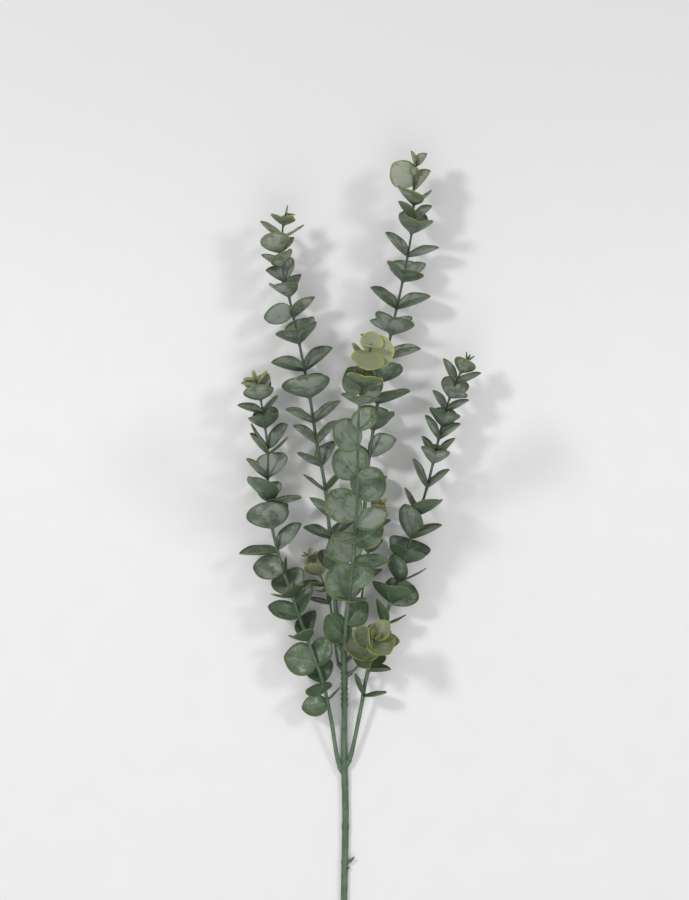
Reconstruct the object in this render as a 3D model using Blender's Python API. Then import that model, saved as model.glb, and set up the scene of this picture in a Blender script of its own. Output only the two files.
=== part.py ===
"""A moulded eucalyptus stem, laid down: a bare stem that forks into five leafy branches and three sprigs.

The drawing frame is in millimetres from the fork: +X right, +Y up the stem to the tips, +Z up from the
surface that the stem lies on. At the end everything is moved so that the origin is under the middle of it.
"""

import math
import random
from dataclasses import dataclass, replace

import bmesh
import bpy
from mathutils import Matrix, Vector
from mathutils.bvhtree import BVHTree

MM = 0.001
UP = Vector((0, 0, 1))

# Driving dimensions, mm
STEM_RADIUS = 3.0
CENTRE_RADIUS = 2.7
SOCKET_SWELL = 0.45
SOCKET_LENGTH = 9.0
SOCKET_TAPER = 6.0
SEAT_GAP = 0.3
BLADE_THICKNESS = 0.7
BLADE_GAP = 1.2
OWN_GAP = 0.3
FLOOR_GAP = 0.1
WIDEST_REST = 88.0
HALVINGS = 24
PAIR_HEIGHT = 2.5
FOOT_DEPTH = 0.3
ROUTE_STEP = 2.0
STEM_SIDES = 8
SOCKET_SIDES = 6
SNAG_SIDES = 5

# A blade's rows follow a circle from its foot to its tip. Its sides rise from its middle by the cup times
# its breadth, and it is flatter the more its inner face is turned to the front
BLADE_STRIPS = 4
SMALL_BLADE_STRIPS = 3
SMALL_BLADE = 18.5
TIP_POINT = 0.05
CURL = 24.0
CURL_SPREAD = 7.0
CUP = 0.26
CUP_SPREAD = 0.03
FLAT_TURN = 110.0
SEED = 11

# What a blade tries, in this order, where it would meet another branch or the surface:
# degrees added to its roll, degrees added to its spread, and its size
TURNS = (
    (0, 0, 1.0), (0, -8, 1.0), (10, 0, 1.0), (-10, 0, 1.0), (0, 8, 1.0), (14, -10, 1.0), (-14, -10, 1.0),
    (0, -18, 1.0), (22, 0, 0.95), (-22, 0, 0.95), (22, -16, 0.95), (-22, -16, 0.95), (0, -28, 0.95),
    (36, 0, 0.9), (-36, 0, 0.9), (36, -20, 0.85), (-36, -20, 0.85), (0, 0, 0.8), (0, -20, 0.8),
    (50, -10, 0.8), (-50, -10, 0.8), (24, 0, 0.65), (-24, 0, 0.65), (0, -30, 0.65), (60, -24, 0.6),
    (-60, -24, 0.6), (0, -10, 0.5), (40, -30, 0.5), (-40, -30, 0.5),
)


@dataclass(frozen=True)
class Twig:
    """The radii of a twig at its socket and at its tip, and how coarsely it is drawn."""

    base_radius: float
    tip_radius: float
    ring_spacing: float
    sides: int


BRANCH_TWIG = Twig(2.2, 0.9, 18.0, 5)
SPRIG_TWIG = Twig(1.5, 0.8, 12.0, 4)


@dataclass(frozen=True)
class Blade:
    """One leaf. height is its foot's place up the stem from the fork. roll is 0 to the right, 90 to the
    front, 180 to the left and 270 to the back. spread is its angle from the twig. turn is its turn about
    its own axis: the inner face of a right leaf comes to the front where it is above 0, and that of a left
    leaf where it is below. One that rests is opened until it touches the surface, and so carries its
    branch. One without a cup of its own takes its branch's."""

    height: float
    roll: float
    length: float
    breadth: float
    spread: float
    turn: float = 0
    rests: bool = False
    curl: float = CURL
    cup: float | None = None


def pair(height, roll, length, breadth, spread, turn=0):
    """Two opposite leaves of one size."""
    return [
        Blade(height, roll, length, breadth, spread, turn),
        Blade(height, roll + 180, length, breadth, spread, turn),
    ]


# The bare stem and its middle, which goes on up between the branches to the crown
STEM_ROUTE = [
    (0, -172, 2.7), (0.5, -121, 2.7), (1.8, -50, 2.7), (1.2, -12, 3.2), (0.6, 25, 5.2), (0.9, 70, 10.5),
    (0.4, 106, 17.2),
]
CENTRE_START = 25

# Height and swell of each moulded ring
STEM_RINGS = ((-87, 0.7), (-56.5, 0.65), (-53.5, 0.65), (-17, 0.5))
RING_HALF_LENGTH = 1.1
TEETH_START = 52.0
TEETH_END = 86.0
TOOTH_PITCH = 4.8
TOOTH_RISE = 3.84
TOOTH_FOOT = 0.2
TOOTH_DEPTH = 0.85

# A broken stub and the scar under it, with the distance and radius of each of their rings
SNAG_ROUTE = [(2.5, -88.5, 3), (6.4, -85.6, 3.4), (9.8, -82, 4.6)]
SNAG_STOPS = [(0, 1.5), (4.6, 1.2), (7.6, 1.0), (9.8, 0.5)]
SCAR_ROUTE = [(2.2, -93.5, 3), (5.4, -91.4, 3.2)]
SCAR_STOPS = [(0, 1.4), (2.4, 1.1), (3.8, 0.5)]

# Each branch's route starts inside the stem, then passes through its own points
FAR_LEFT_ROUTE = [
    (0.2, -8, 3.2), (-4.8, 4, 5.2), (-8, 22, 9.5), (-11, 42, 14), (-19, 79, 20), (-32, 115, 23),
    (-46, 155, 23.5), (-59, 195, 24.5), (-67, 239, 27), (-67, 282, 30), (-72, 321, 34), (-77, 344, 37),
    (-79, 349, 39.5),
]
RIGHT_LOW_ROUTE = [
    (1.2, -2, 3.8), (6.6, 9, 6), (9.5, 22, 8.6), (16, 55, 14), (22, 87, 20), (36, 131, 24),
    (48, 166, 24.5), (60, 205, 25.5), (74, 250, 28), (84, 292, 32), (94, 330, 35), (104, 353, 37),
    (112, 368, 40),
]
LEFT_TALL_ROUTE = [
    (0.3, 103, 16.6), (-4, 113, 17.4), (-7, 141, 16), (-11, 194, 19), (-16, 248, 23), (-24, 292, 25),
    (-30, 331, 25.5), (-39, 377, 28), (-48, 418, 32), (-55, 451, 36), (-54, 476, 39), (-50, 494, 43),
]
RIGHT_TALL_ROUTE = [
    (0.6, 103, 16.6), (5, 113, 17.4), (8, 150, 15), (17, 212, 17), (22, 270, 21), (30, 323, 24.5),
    (41, 381, 25.5), (52, 431, 29), (60, 474, 34), (62, 500, 38), (62, 522, 41), (64, 538, 44),
]
FRONT_ROUTE = [
    (0.4, 103, 16.8), (0.7, 112, 22.5), (4.4, 148, 38), (8.3, 186, 62), (10.4, 218, 84), (12, 240, 101),
    (12.2, 283, 132), (13.3, 320, 158), (18.5, 351, 180), (22.8, 370, 196),
]
SPRIG_FRONT_ROUTE = [
    (1, 80, 12), (7, 85, 17), (14, 93, 25), (21, 104, 38), (25, 114, 52), (27, 122, 66),
]
SPRIG_BACK_LEFT_ROUTE = [
    (0.4, 86, 13), (-5, 94, 11.5), (-7.5, 112, 11.5), (-10, 132, 11), (-14.5, 156, 12), (-27, 183, 15),
    (-36, 193, 19),
]
SPRIG_BACK_RIGHT_ROUTE = [
    (0.8, 93, 14.5), (7.5, 101, 12), (12, 120, 11), (15, 140, 10), (21, 185, 11), (28, 221, 14),
    (33, 238, 19),
]

FAR_LEFT_BLADES = [
    Blade(57, 180, 23, 20, 88, -60), Blade(60, 8, 17, 5, 54),
    Blade(76, 270, 27, 26, 45), Blade(76, 114, 23, 25, 104, cup=0.12),
    Blade(94, 170, 29, 30, 58, -75), Blade(92, -10, 26, 24, 42, 45),
    Blade(116, -46, 27, 28, 44), Blade(114, 115, 24, 24, 65),
    Blade(136, 180, 28, 24, 54, -40), Blade(138, 0, 29, 26, 44, 32),
    Blade(154, 286, 29, 33, 44), Blade(153, 110, 24, 27, 75),
    Blade(176, 192, 27, 27, 64, -48), Blade(173, 0, 15, 11, 24),
    Blade(193, 180, 33, 26, 78, -12), Blade(195, 0, 31, 31, 58, 22),
    Blade(214, 96, 30, 38, 36, cup=0.12), Blade(215, 275, 31, 34, 44, rests=True),
    Blade(238, 122, 31, 32, 42, -10), Blade(238, 300, 22, 24, 46), Blade(237, 25, 32, 22, 87),
    Blade(259, -60, 28, 31, 42), Blade(258, 160, 26, 24, 50, -8),
    Blade(280, 165, 24, 22, 40, -10), Blade(280, 5, 23, 18, 52, cup=0.08),
    Blade(287, 190, 25, 12, 60, cup=0.06), Blade(286, 0, 29, 25, 64, 42),
    Blade(303, 92, 26, 27, 64), Blade(303, 283, 24, 24, 45),
    Blade(316, 180, 23, 21, 64, -6), Blade(316, 0, 20, 16, 50),
    Blade(328, 95, 22, 27, 50, cup=0.1), Blade(328, 288, 22, 22, 38),
    Blade(334, 190, 14, 12, 60), Blade(334, -30, 19, 20, 50, 20),
    Blade(341, 180, 14, 11, 70, -20), Blade(341, 0, 15, 9, 50, 10),
    Blade(346, 185, 11, 6, 72), Blade(346, 80, 9, 3.5, 10),
]
LEFT_TALL_BLADES = [
    *pair(176, 60, 23, 22, 42),
    Blade(205, 180, 25, 24, 64, -8), Blade(205, 0, 24, 24, 60, 8),
    Blade(224, 150, 25, 24, 42), Blade(224, -30, 24, 24, 50),
    Blade(247, 180, 24, 20, 46, cup=0.08), Blade(247, 0, 21, 20, 50),
    Blade(269, 160, 25, 25, 52, -6), Blade(269, -40, 27, 26, 46),
    Blade(289, 180, 26, 26, 43, -6), Blade(289, 0, 26, 26, 51, -4),
    Blade(308, 168, 27, 30, 58, -8), Blade(308, -10, 30, 30, 60, 2),
    Blade(330, 94, 31, 43, 53, cup=0.15), Blade(331, 275, 31, 32, 44, rests=True),
    Blade(354, 180, 30, 34, 66, -12), Blade(354, 0, 31, 35, 62, 16),
    Blade(378, 88, 31, 38, 66, 4), Blade(379, 300, 30, 30, 52),
    Blade(404, 195, 26, 25, 84, -44), Blade(401, 22, 27, 28, 60, -8),
    Blade(419, 118, 25, 27, 58, -8), Blade(420, -45, 24, 24, 50),
    Blade(432, 172, 20, 26, 46, -22), Blade(433, -52, 23, 22, 36),
    Blade(445, 70, 23, 22, 54, 12), Blade(445, 190, 21, 16, 50, -15),
    Blade(458, 125, 24, 26, 48, 25), Blade(458, -50, 20, 18, 50),
    Blade(471, 180, 23, 18, 60, -8), Blade(471, 0, 22, 11, 54, 10, cup=0.05),
    Blade(482, 98, 22, 22, 67, 2), Blade(482, 300, 13, 13, 52),
    Blade(492, 0, 8, 3.5, 84), Blade(492, 180, 7, 3, 4),
]
RIGHT_TALL_BLADES = [
    *pair(205, 45, 24, 23, 42), *pair(243, -30, 26, 25, 50),
    Blade(279, 0, 27, 31, 52, 32), Blade(278, 190, 20, 14, 62),
    Blade(301, 60, 29, 29, 50, 5), Blade(301, 262, 28, 30, 46),
    Blade(325, 22, 31, 32, 62, 6), Blade(325, 185, 30, 27, 60),
    Blade(344, 58, 27, 25, 50, -8), Blade(344, 232, 28, 27, 50),
    Blade(365, 0, 31, 33, 64, 8), Blade(365, 180, 30, 28, 58),
    Blade(386, 93, 34, 36, 65, -5), Blade(388, 268, 28, 38, 58, -17, rests=True),
    Blade(409, 180, 29, 32, 64, -9), Blade(409, 0, 31, 33, 58, 9),
    Blade(433, 95, 30, 35, 70, -10), Blade(434, 288, 29, 34, 54, -8),
    Blade(455, 180, 28, 28, 54, -11), Blade(455, 0, 28, 27, 64, -3),
    Blade(475, 82, 30, 30, 68, -4, cup=0.34), Blade(476, 270, 24, 26, 42),
    Blade(487, 150, 22, 17, 46, 6), Blade(487, 0, 20, 18, 50, 22),
    Blade(500, 115, 28, 26, 60, -16, cup=0.3), Blade(500, -10, 20, 17, 50, cup=0.04),
    Blade(518, 180, 25, 26, 46, -75), Blade(513, 20, 22, 25, 44, 34),
    Blade(534, 178, 13, 10, 26, -15), Blade(533, 0, 15, 16, 34, 26),
    Blade(525, 90, 9, 8, 30),
]
FRONT_BLADES = [
    Blade(116, 168, 28, 27, 42, -55), Blade(131, 0, 26, 25, 40, 45),
    Blade(151, 232, 34, 36, 38, -16), Blade(153, 84, 20, 28, 66, cup=0.1),
    Blade(166, -20, 25, 22, 46, 40),
    Blade(187, 226, 28, 36, 60, -10), Blade(187, 12, 32, 15, 76, 20),
    Blade(203, -15, 28, 23, 60, 36), Blade(210, 124, 35, 18, 70, -6),
    Blade(220, -8, 29, 20, 66, 32), Blade(224, 215, 32, 34, 64, -14),
    Blade(243, -30, 30, 32, 46, 38), Blade(260, 222, 29, 35, 48, -12), Blade(265, 40, 25, 16, 74, 15),
    Blade(286, 192, 29, 30, 44, -26), Blade(300, 305, 22, 22, 58),
    Blade(321, 98, 26, 32, 42, 3, cup=0.16), Blade(336, 88, 24, 30, 38, cup=0.2),
    Blade(331, 190, 24, 25, 28, -42), Blade(328, -20, 23, 20, 44, 35), Blade(337, 285, 18, 18, 40),
    Blade(364, 88, 28, 27, 84, cup=0.1), Blade(364, 265, 16, 19, 42), Blade(363, -8, 20, 26, 74, 40),
    Blade(369, 88, 11, 19, 60, cup=0.06),
    Blade(354, 180, 22, 13, 42), Blade(345, 178, 20, 12, 34, 10),
]
RIGHT_LOW_BLADES = [
    Blade(65, 170, 22, 18, 42, -12), Blade(64, 20, 22, 20, 68, cup=0.12),
    Blade(87, 175, 26, 20, 82), Blade(87, 5, 20, 18, 72), Blade(89, 275, 22, 24, 50),
    *pair(109, 80, 24, 22, 50),
    Blade(128, 150, 25, 24, 36, -10), Blade(128, 0, 22, 16, 48, cup=0.05),
    Blade(147, -50, 29, 34, 44, 25), Blade(148, 108, 28, 36, 60, 8),
    Blade(167, 135, 26, 22, 34, 8), Blade(167, 0, 27, 17, 48, cup=0.06),
    Blade(183, 90, 28, 33, 62), Blade(184, 270, 28, 38, 48),
    Blade(205, 135, 33, 27, 34, 10), Blade(205, 0, 29, 23, 50, 6),
    Blade(226, 166, 27, 17, 46, -4), Blade(226, 55, 29, 30, 50, 14),
    Blade(250, 172, 28, 25, 42, -10), Blade(250, 0, 25, 19, 36, 4),
    Blade(272, 92, 26, 26, 62, cup=0.32), Blade(272, 270, 20, 22, 42),
    Blade(276, 180, 22, 20, 60, -8), Blade(276, 0, 25, 20, 34),
    Blade(293, 172, 24, 23, 44, -8), Blade(293, -5, 23, 22, 42, 6),
    Blade(305, 95, 26, 28, 64, cup=0.34), Blade(305, 275, 20, 22, 40),
    Blade(318, 180, 21, 21, 48, -10), Blade(318, 0, 22, 20, 50, 8),
    Blade(330, 78, 22, 24, 66, -12), Blade(330, 280, 24, 25, 44),
    Blade(342, 180, 24, 21, 50, -14), Blade(342, 0, 24, 20, 44, 8),
    Blade(352, 92, 19, 20, 48), Blade(352, 280, 14, 12, 32),
    Blade(362, 0, 8, 4, 30), Blade(362, 180, 8, 4, 30),
]
SPRIG_FRONT_BLADES = [
    Blade(98, 95, 20, 20, 64), Blade(98, 275, 20, 18, 50),
    Blade(106, 148, 24, 23, 74), Blade(106, 300, 20, 20, 50),
    Blade(113, 185, 21, 21, 62), Blade(113, -12, 25, 18, 62),
    Blade(118, 42, 23, 26, 66), Blade(118, 180, 19, 22, 20),
    Blade(120, -50, 20, 17, 48),
    Blade(121.5, 10, 9, 8, 30), Blade(121.5, 190, 9, 8, 30),
]
SPRIG_BACK_LEFT_BLADES = [
    Blade(172, 75, 21, 24, 44, cup=0.1), Blade(146, 178, 20, 14, 66), Blade(162, 180, 20, 15, 60),
    Blade(146, 20, 15, 13, 34), Blade(158, 110, 14, 15, 76), Blade(175, -60, 18, 16, 36),
    Blade(189, 0, 8, 5, 60), Blade(189, 180, 6, 4, 50),
]
SPRIG_BACK_RIGHT_BLADES = [
    *pair(165, 0, 20, 18, 48), *pair(192, 80, 21, 19, 45), *pair(212, 0, 18, 17, 50),
    *pair(227, 80, 15, 13, 45), *pair(234, 10, 10, 8, 32),
]

# Branches whose leaves are flatter than the others
BRANCH_CUP = {"branch_front": 0.13, "sprig_front": 0.16}

# Node, route and blades, the ones seen in front first: later blades give way to earlier ones
BRANCHES = {
    "branch_front": (FRONT_ROUTE, FRONT_BLADES),
    "sprig_front": (SPRIG_FRONT_ROUTE, SPRIG_FRONT_BLADES),
    "branch_left_tall": (LEFT_TALL_ROUTE, LEFT_TALL_BLADES),
    "branch_right_tall": (RIGHT_TALL_ROUTE, RIGHT_TALL_BLADES),
    "branch_far_left": (FAR_LEFT_ROUTE, FAR_LEFT_BLADES),
    "branch_right_low": (RIGHT_LOW_ROUTE, RIGHT_LOW_BLADES),
    "sprig_back_left": (SPRIG_BACK_LEFT_ROUTE, SPRIG_BACK_LEFT_BLADES),
    "sprig_back_right": (SPRIG_BACK_RIGHT_ROUTE, SPRIG_BACK_RIGHT_BLADES),
}

# Colour, roughness and metallic value of each material
FINISHES = {
    "stem_green": ((0.085, 0.15, 0.09), 0.5, 0.0),
    "leaf_grey_green": ((0.15, 0.205, 0.16), 0.6, 0.0),
    "leaf_front_green": ((0.165, 0.21, 0.145), 0.58, 0.0),
}
BRANCH_FINISH = {"branch_front": "leaf_front_green", "sprig_front": "leaf_front_green"}


# Routes

def smooth(points, step=ROUTE_STEP):
    """Points about one step apart on the smooth curve through the given ones."""
    points = [Vector(p) for p in points]
    line = []
    for i in range(len(points) - 1):
        before = points[max(i - 1, 0)]
        start, end = points[i], points[i + 1]
        after = points[min(i + 2, len(points) - 1)]
        count = max(2, round((end - start).length / step))
        for k in range(count):
            t = k / count
            line.append(0.5 * (
                2 * start + (end - before) * t
                + (2 * before - 5 * start + 4 * end - after) * t * t
                + (3 * start - before - 3 * end + after) * t ** 3
            ))
    line.append(points[-1])
    return line


def lengths(line):
    """The distance of each point from the start of the line, along it."""
    total = [0.0]
    for a, b in zip(line, line[1:]):
        total.append(total[-1] + (b - a).length)
    return total


def place(line, distance, total):
    """The point at this distance along the line, and the line's direction there."""
    distance = min(max(distance, 0.0), total[-1])
    i = 0
    while i < len(line) - 2 and total[i + 1] < distance:
        i += 1
    share = (distance - total[i]) / (total[i + 1] - total[i])
    before = line[max(i - 1, 0)]
    after = line[min(i + 2, len(line) - 1)]
    return line[i].lerp(line[i + 1], share), (after - before).normalized()


def distance_at(line, total, height):
    """How far along the line it passes this height up the stem."""
    for i in range(len(line) - 1):
        if line[i].y <= height <= line[i + 1].y:
            share = (height - line[i].y) / (line[i + 1].y - line[i].y)
            return total[i] + share * (total[i + 1] - total[i])
    return total[-1]


def across(along):
    """The directions to the right of the line and to its front."""
    side = along.cross(UP).normalized()
    return side, side.cross(along)


# Solids, each as (points, faces) in millimetres

def tube(line, total, stops, sides, floor=None):
    """A closed tube with a ring at each stop, which is (distance, radius). Rings are flat underneath."""
    points, faces = [], []
    for distance, radius in stops:
        centre, along = place(line, distance, total)
        side, front = across(along)
        for k in range(sides):
            angle = 2 * math.pi * (k + 0.5) / sides
            point = centre + radius * (math.cos(angle) * side + math.sin(angle) * front)
            if floor is not None:
                point.z = max(point.z, floor)
            points.append(point)
    for ring in range(len(stops) - 1):
        for k in range(sides):
            a, b = ring * sides + k, ring * sides + (k + 1) % sides
            faces.append((a, b, b + sides, a + sides))
    faces.append(tuple(reversed(range(sides))))
    faces.append(tuple(range(len(points) - sides, len(points))))
    return points, faces


def even_stops(start, end, start_radius, end_radius, spacing):
    count = max(1, round((end - start) / spacing))
    return [
        (start + (end - start) * k / count, start_radius + (end_radius - start_radius) * k / count)
        for k in range(count + 1)
    ]


def blade_solid(line, total, blade, root, grow=0.0):
    """A leaf: round with a short point, clasping the twig at its foot, curled and cupped to the tip."""
    foot, along = place(line, distance_at(line, total, blade.height), total)
    side, front = across(along)
    roll = math.radians(blade.roll)
    out = math.cos(roll) * side + math.sin(roll) * front
    start = math.radians(blade.spread + blade.curl / 2)
    bend = math.radians(blade.curl)
    width_way = out.cross(along)
    small = blade.length < SMALL_BLADE
    strips = SMALL_BLADE_STRIPS if small else BLADE_STRIPS
    thickness = BLADE_THICKNESS + 2 * grow
    length = blade.length + grow
    half_breadth = blade.breadth / 2 + grow
    cup = blade.cup * (1 - abs(blade.turn) / FLAT_TURN)
    top, under = [], []
    for row in range(strips + 1):
        angle = math.pi * row / strips
        share = (1 - math.cos(angle)) / 2
        if row == strips:
            share += TIP_POINT
        lean = start - bend * share
        middle = length / bend * (
            (math.sin(start) - math.sin(lean)) * along + (math.cos(lean) - math.cos(start)) * out
        )
        inner = math.sin(lean) * along - math.cos(lean) * out
        half = half_breadth * math.sin(angle)
        rise = cup * blade.breadth * math.sin(angle)
        if row in (0, strips):
            columns = (0,)
        elif small:
            columns = (-1, 1)
        else:
            columns = (-1, 0, 1)
        for column in columns:
            point = middle + column * half * width_way + (column * column * rise + grow) * inner
            top.append(point)
            under.append(point - thickness * inner)
    middle_lean = start - bend / 2
    axis = math.cos(middle_lean) * along + math.sin(middle_lean) * out
    turned = Matrix.Rotation(math.radians(blade.turn), 3, axis)
    start_at = foot + root * out
    points = [start_at + turned @ p for p in top + under]
    return points, blade_faces(strips, 2 if small else 3)


def blade_faces(strips, columns):
    """Both faces of a blade are split into triangles alike, then joined round the rim."""
    tip = columns * (strips - 1) + 1
    last = tip - columns
    upper = []
    for column in range(columns - 1):
        upper.append((0, 1 + column, 2 + column))
        for a in range(1 + column, last, columns):
            if column == 0:
                upper += [(a, a + columns, a + columns + 1), (a, a + columns + 1, a + 1)]
            else:
                upper += [(a, a + columns, a + 1), (a + 1, a + columns, a + columns + 1)]
        upper.append((last + column, tip, last + column + 1))
    count = tip + 1
    under = [(c + count, b + count, a + count) for a, b, c in upper]
    rim = [0] + list(range(columns, tip, columns)) + [tip] + list(range(last, 0, -columns))
    walls = []
    for a, b in zip(rim, rim[1:] + rim[:1]):
        walls += [(a, b, b + count), (a, b + count, a + count)]
    return upper + under + walls


# Leaves that give way

def tree_of(solid):
    return BVHTree.FromPolygons([tuple(p) for p in solid[0]], solid[1])


def meets(tree, others):
    return any(tree.overlap(other) for other in others)


def lowest(line, total, blade, root):
    return min(p.z for p in blade_solid(line, total, blade, root)[0])


def rested(line, total, blade, root):
    """The blade opened, by halving the range of its spread, until it touches the surface."""
    narrow, wide = blade.spread, WIDEST_REST
    for _ in range(HALVINGS):
        middle = (narrow + wide) / 2
        if lowest(line, total, replace(blade, spread=middle), root) > FLOOR_GAP:
            narrow = middle
        else:
            wide = middle
    return replace(blade, spread=narrow)


def settled(line, total, blade, root, others, own):
    """The blade as first drawn or, where it would meet something, the first of its turns that is clear."""
    if blade.rests:
        blade = rested(line, total, blade, root)
    for also_own in (True, False):
        for add_roll, add_spread, size in TURNS:
            moved = replace(
                blade,
                roll=blade.roll + add_roll,
                spread=blade.spread + add_spread,
                length=blade.length * size,
                breadth=blade.breadth * size,
            )
            if lowest(line, total, moved, root) < FLOOR_GAP:
                continue
            if meets(tree_of(blade_solid(line, total, moved, root, BLADE_GAP)), others):
                continue
            if also_own and meets(tree_of(blade_solid(line, total, moved, root, OWN_GAP)), own):
                continue
            return moved
    return None


def varied(name, blades, draw):
    """Each leaf gets a curl and a cup of its own."""
    cup = BRANCH_CUP.get(name, CUP)
    return [
        replace(
            blade,
            curl=CURL + draw.uniform(-CURL_SPREAD, CURL_SPREAD),
            cup=(cup if blade.cup is None else blade.cup) + draw.uniform(-CUP_SPREAD, CUP_SPREAD),
        )
        for blade in blades
    ]


def twig_of(name):
    return SPRIG_TWIG if name.startswith("sprig") else BRANCH_TWIG


def leafed():
    """Every branch's line, twig and settled blades."""
    draw = random.Random(SEED)
    drawn = {}
    for name, (route, blades) in BRANCHES.items():
        line = smooth(route)
        total = lengths(line)
        twig = twig_of(name)
        start = SOCKET_LENGTH + SEAT_GAP
        stops = even_stops(start, total[-1], twig.base_radius, twig.tip_radius, twig.ring_spacing)
        drawn[name] = {
            "line": line,
            "total": total,
            "twig": tube(line, total, stops, twig.sides),
            "root": -FOOT_DEPTH * twig.tip_radius,
            "blades": varied(name, blades, draw),
        }
    trees = {name: [tree_of(branch["twig"])] for name, branch in drawn.items()}
    trees["main_stem"] = [tree_of(solid) for solid in stem_solids()]
    for name, branch in drawn.items():
        others = [tree for other, group in trees.items() if other != name for tree in group]
        own = []
        kept = []
        for blade in branch["blades"]:
            near = [tree for height, tree in own if abs(height - blade.height) > PAIR_HEIGHT]
            found = settled(branch["line"], branch["total"], blade, branch["root"], others, near)
            if found is None:
                continue
            kept.append(found)
            tree = tree_of(blade_solid(branch["line"], branch["total"], found, branch["root"]))
            own.append((blade.height, tree))
            trees[name].append(tree)
        branch["blades"] = kept
    return drawn


# The stem

def stem_stops(line, total):
    """Rings of the stem: its ends, its moulded rings, and the saw teeth of its middle."""
    stops = [(0.0, STEM_RADIUS)]
    for height, swell in STEM_RINGS:
        middle = distance_at(line, total, height)
        stops += [
            (middle - RING_HALF_LENGTH, STEM_RADIUS),
            (middle, STEM_RADIUS + swell),
            (middle + RING_HALF_LENGTH, STEM_RADIUS),
        ]
    stops.append((distance_at(line, total, 0), STEM_RADIUS))
    stops.append((distance_at(line, total, CENTRE_START), CENTRE_RADIUS))
    foot = CENTRE_RADIUS - TOOTH_FOOT
    height = TEETH_START
    while height < TEETH_END:
        at = distance_at(line, total, height)
        stops += [(at, foot), (at + TOOTH_RISE, foot + TOOTH_DEPTH)]
        height += TOOTH_PITCH
    stops += [(distance_at(line, total, height), foot), (total[-1], CENTRE_RADIUS)]
    return stops


def stem_solids():
    """The stem, a socket for each branch, and the snag and bud scar low on it."""
    line = smooth(STEM_ROUTE)
    total = lengths(line)
    solids = [tube(line, total, stem_stops(line, total), STEM_SIDES, 0.0)]
    for name, (route, _) in BRANCHES.items():
        branch = smooth(route)
        twig = twig_of(name)
        collar = twig.base_radius + SOCKET_SWELL
        stops = [(0.0, twig.base_radius), (SOCKET_TAPER, collar), (SOCKET_LENGTH, collar)]
        solids.append(tube(branch, lengths(branch), stops, SOCKET_SIDES))
    for route, stops in ((SNAG_ROUTE, SNAG_STOPS), (SCAR_ROUTE, SCAR_STOPS)):
        stub = smooth(route)
        solids.append(tube(stub, lengths(stub), stops, SNAG_SIDES))
    return solids


# Scene

def material(name):
    colour, roughness, metallic = FINISHES[name]
    made = bpy.data.materials.get(name) or bpy.data.materials.new(name)
    made.use_nodes = True
    shader = made.node_tree.nodes["Principled BSDF"]
    shader.inputs["Base Color"].default_value = (*colour, 1)
    shader.inputs["Roughness"].default_value = roughness
    shader.inputs["Metallic"].default_value = metallic
    return made


def mesh_object(name, solid, collection):
    mesh = bpy.data.meshes.new(name)
    points, faces = solid
    mesh.from_pydata([tuple(p * MM) for p in points], [], faces)
    shape = bmesh.new()
    shape.from_mesh(mesh)
    bmesh.ops.recalc_face_normals(shape, faces=shape.faces)
    shape.to_mesh(mesh)
    shape.free()
    made = bpy.data.objects.new(name, mesh)
    collection.objects.link(made)
    return made


def fused(name, first, rest, finish):
    """One body from a first solid and the ones that grow from it."""
    pieces = bpy.data.collections.new(name + "_pieces")
    bpy.context.scene.collection.children.link(pieces)
    for index, solid in enumerate(rest):
        mesh_object(f"{name}_{index}", solid, pieces)
    made = mesh_object(name, first, bpy.context.scene.collection)
    made.data.materials.append(material(finish))
    join = made.modifiers.new("join", "BOOLEAN")
    join.operation = "UNION"
    join.operand_type = "COLLECTION"
    join.collection = pieces
    join.solver = "EXACT"
    graph = bpy.context.evaluated_depsgraph_get()
    joined = bpy.data.meshes.new_from_object(made.evaluated_get(graph))
    made.modifiers.clear()
    made.data = joined
    joined.name = name
    joined.set_sharp_from_angle(angle=math.radians(50))
    for piece in list(pieces.objects):
        bpy.data.objects.remove(piece)
    bpy.data.collections.remove(pieces)
    return made


def centred(made):
    """Moves the whole stem so that the origin lies on the surface under the middle of its box."""
    corners = [v.co for each in made for v in each.data.vertices]
    low = [min(c[i] for c in corners) for i in range(3)]
    high = [max(c[i] for c in corners) for i in range(3)]
    move = Vector((-(low[0] + high[0]) / 2, -(low[1] + high[1]) / 2, -low[2]))
    for each in made:
        each.data.transform(Matrix.Translation(move))


def main():
    for old in list(bpy.data.objects):
        bpy.data.objects.remove(old)
    stem, *sockets = stem_solids()
    made = [fused("main_stem", stem, sockets, "stem_green")]
    for name, branch in leafed().items():
        blades = [
            blade_solid(branch["line"], branch["total"], blade, branch["root"])
            for blade in branch["blades"]
        ]
        made.append(fused(name, branch["twig"], blades, BRANCH_FINISH.get(name, "leaf_grey_green")))
    centred(made)


main()
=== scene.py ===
"""The looks of a moulded eucalyptus stem that lies on a pale surface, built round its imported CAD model.

The routes, leaves and the rule by which leaves give way repeat the part's own, in mm from the fork:
+X right, +Y up the stem, +Z up from the surface. Each branch is then drawn again finely in the same place.
"""

import math
import random
from dataclasses import dataclass, replace

import bpy
import numpy as np
from mathutils import Matrix, Vector
from mathutils.bvhtree import BVHTree


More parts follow.
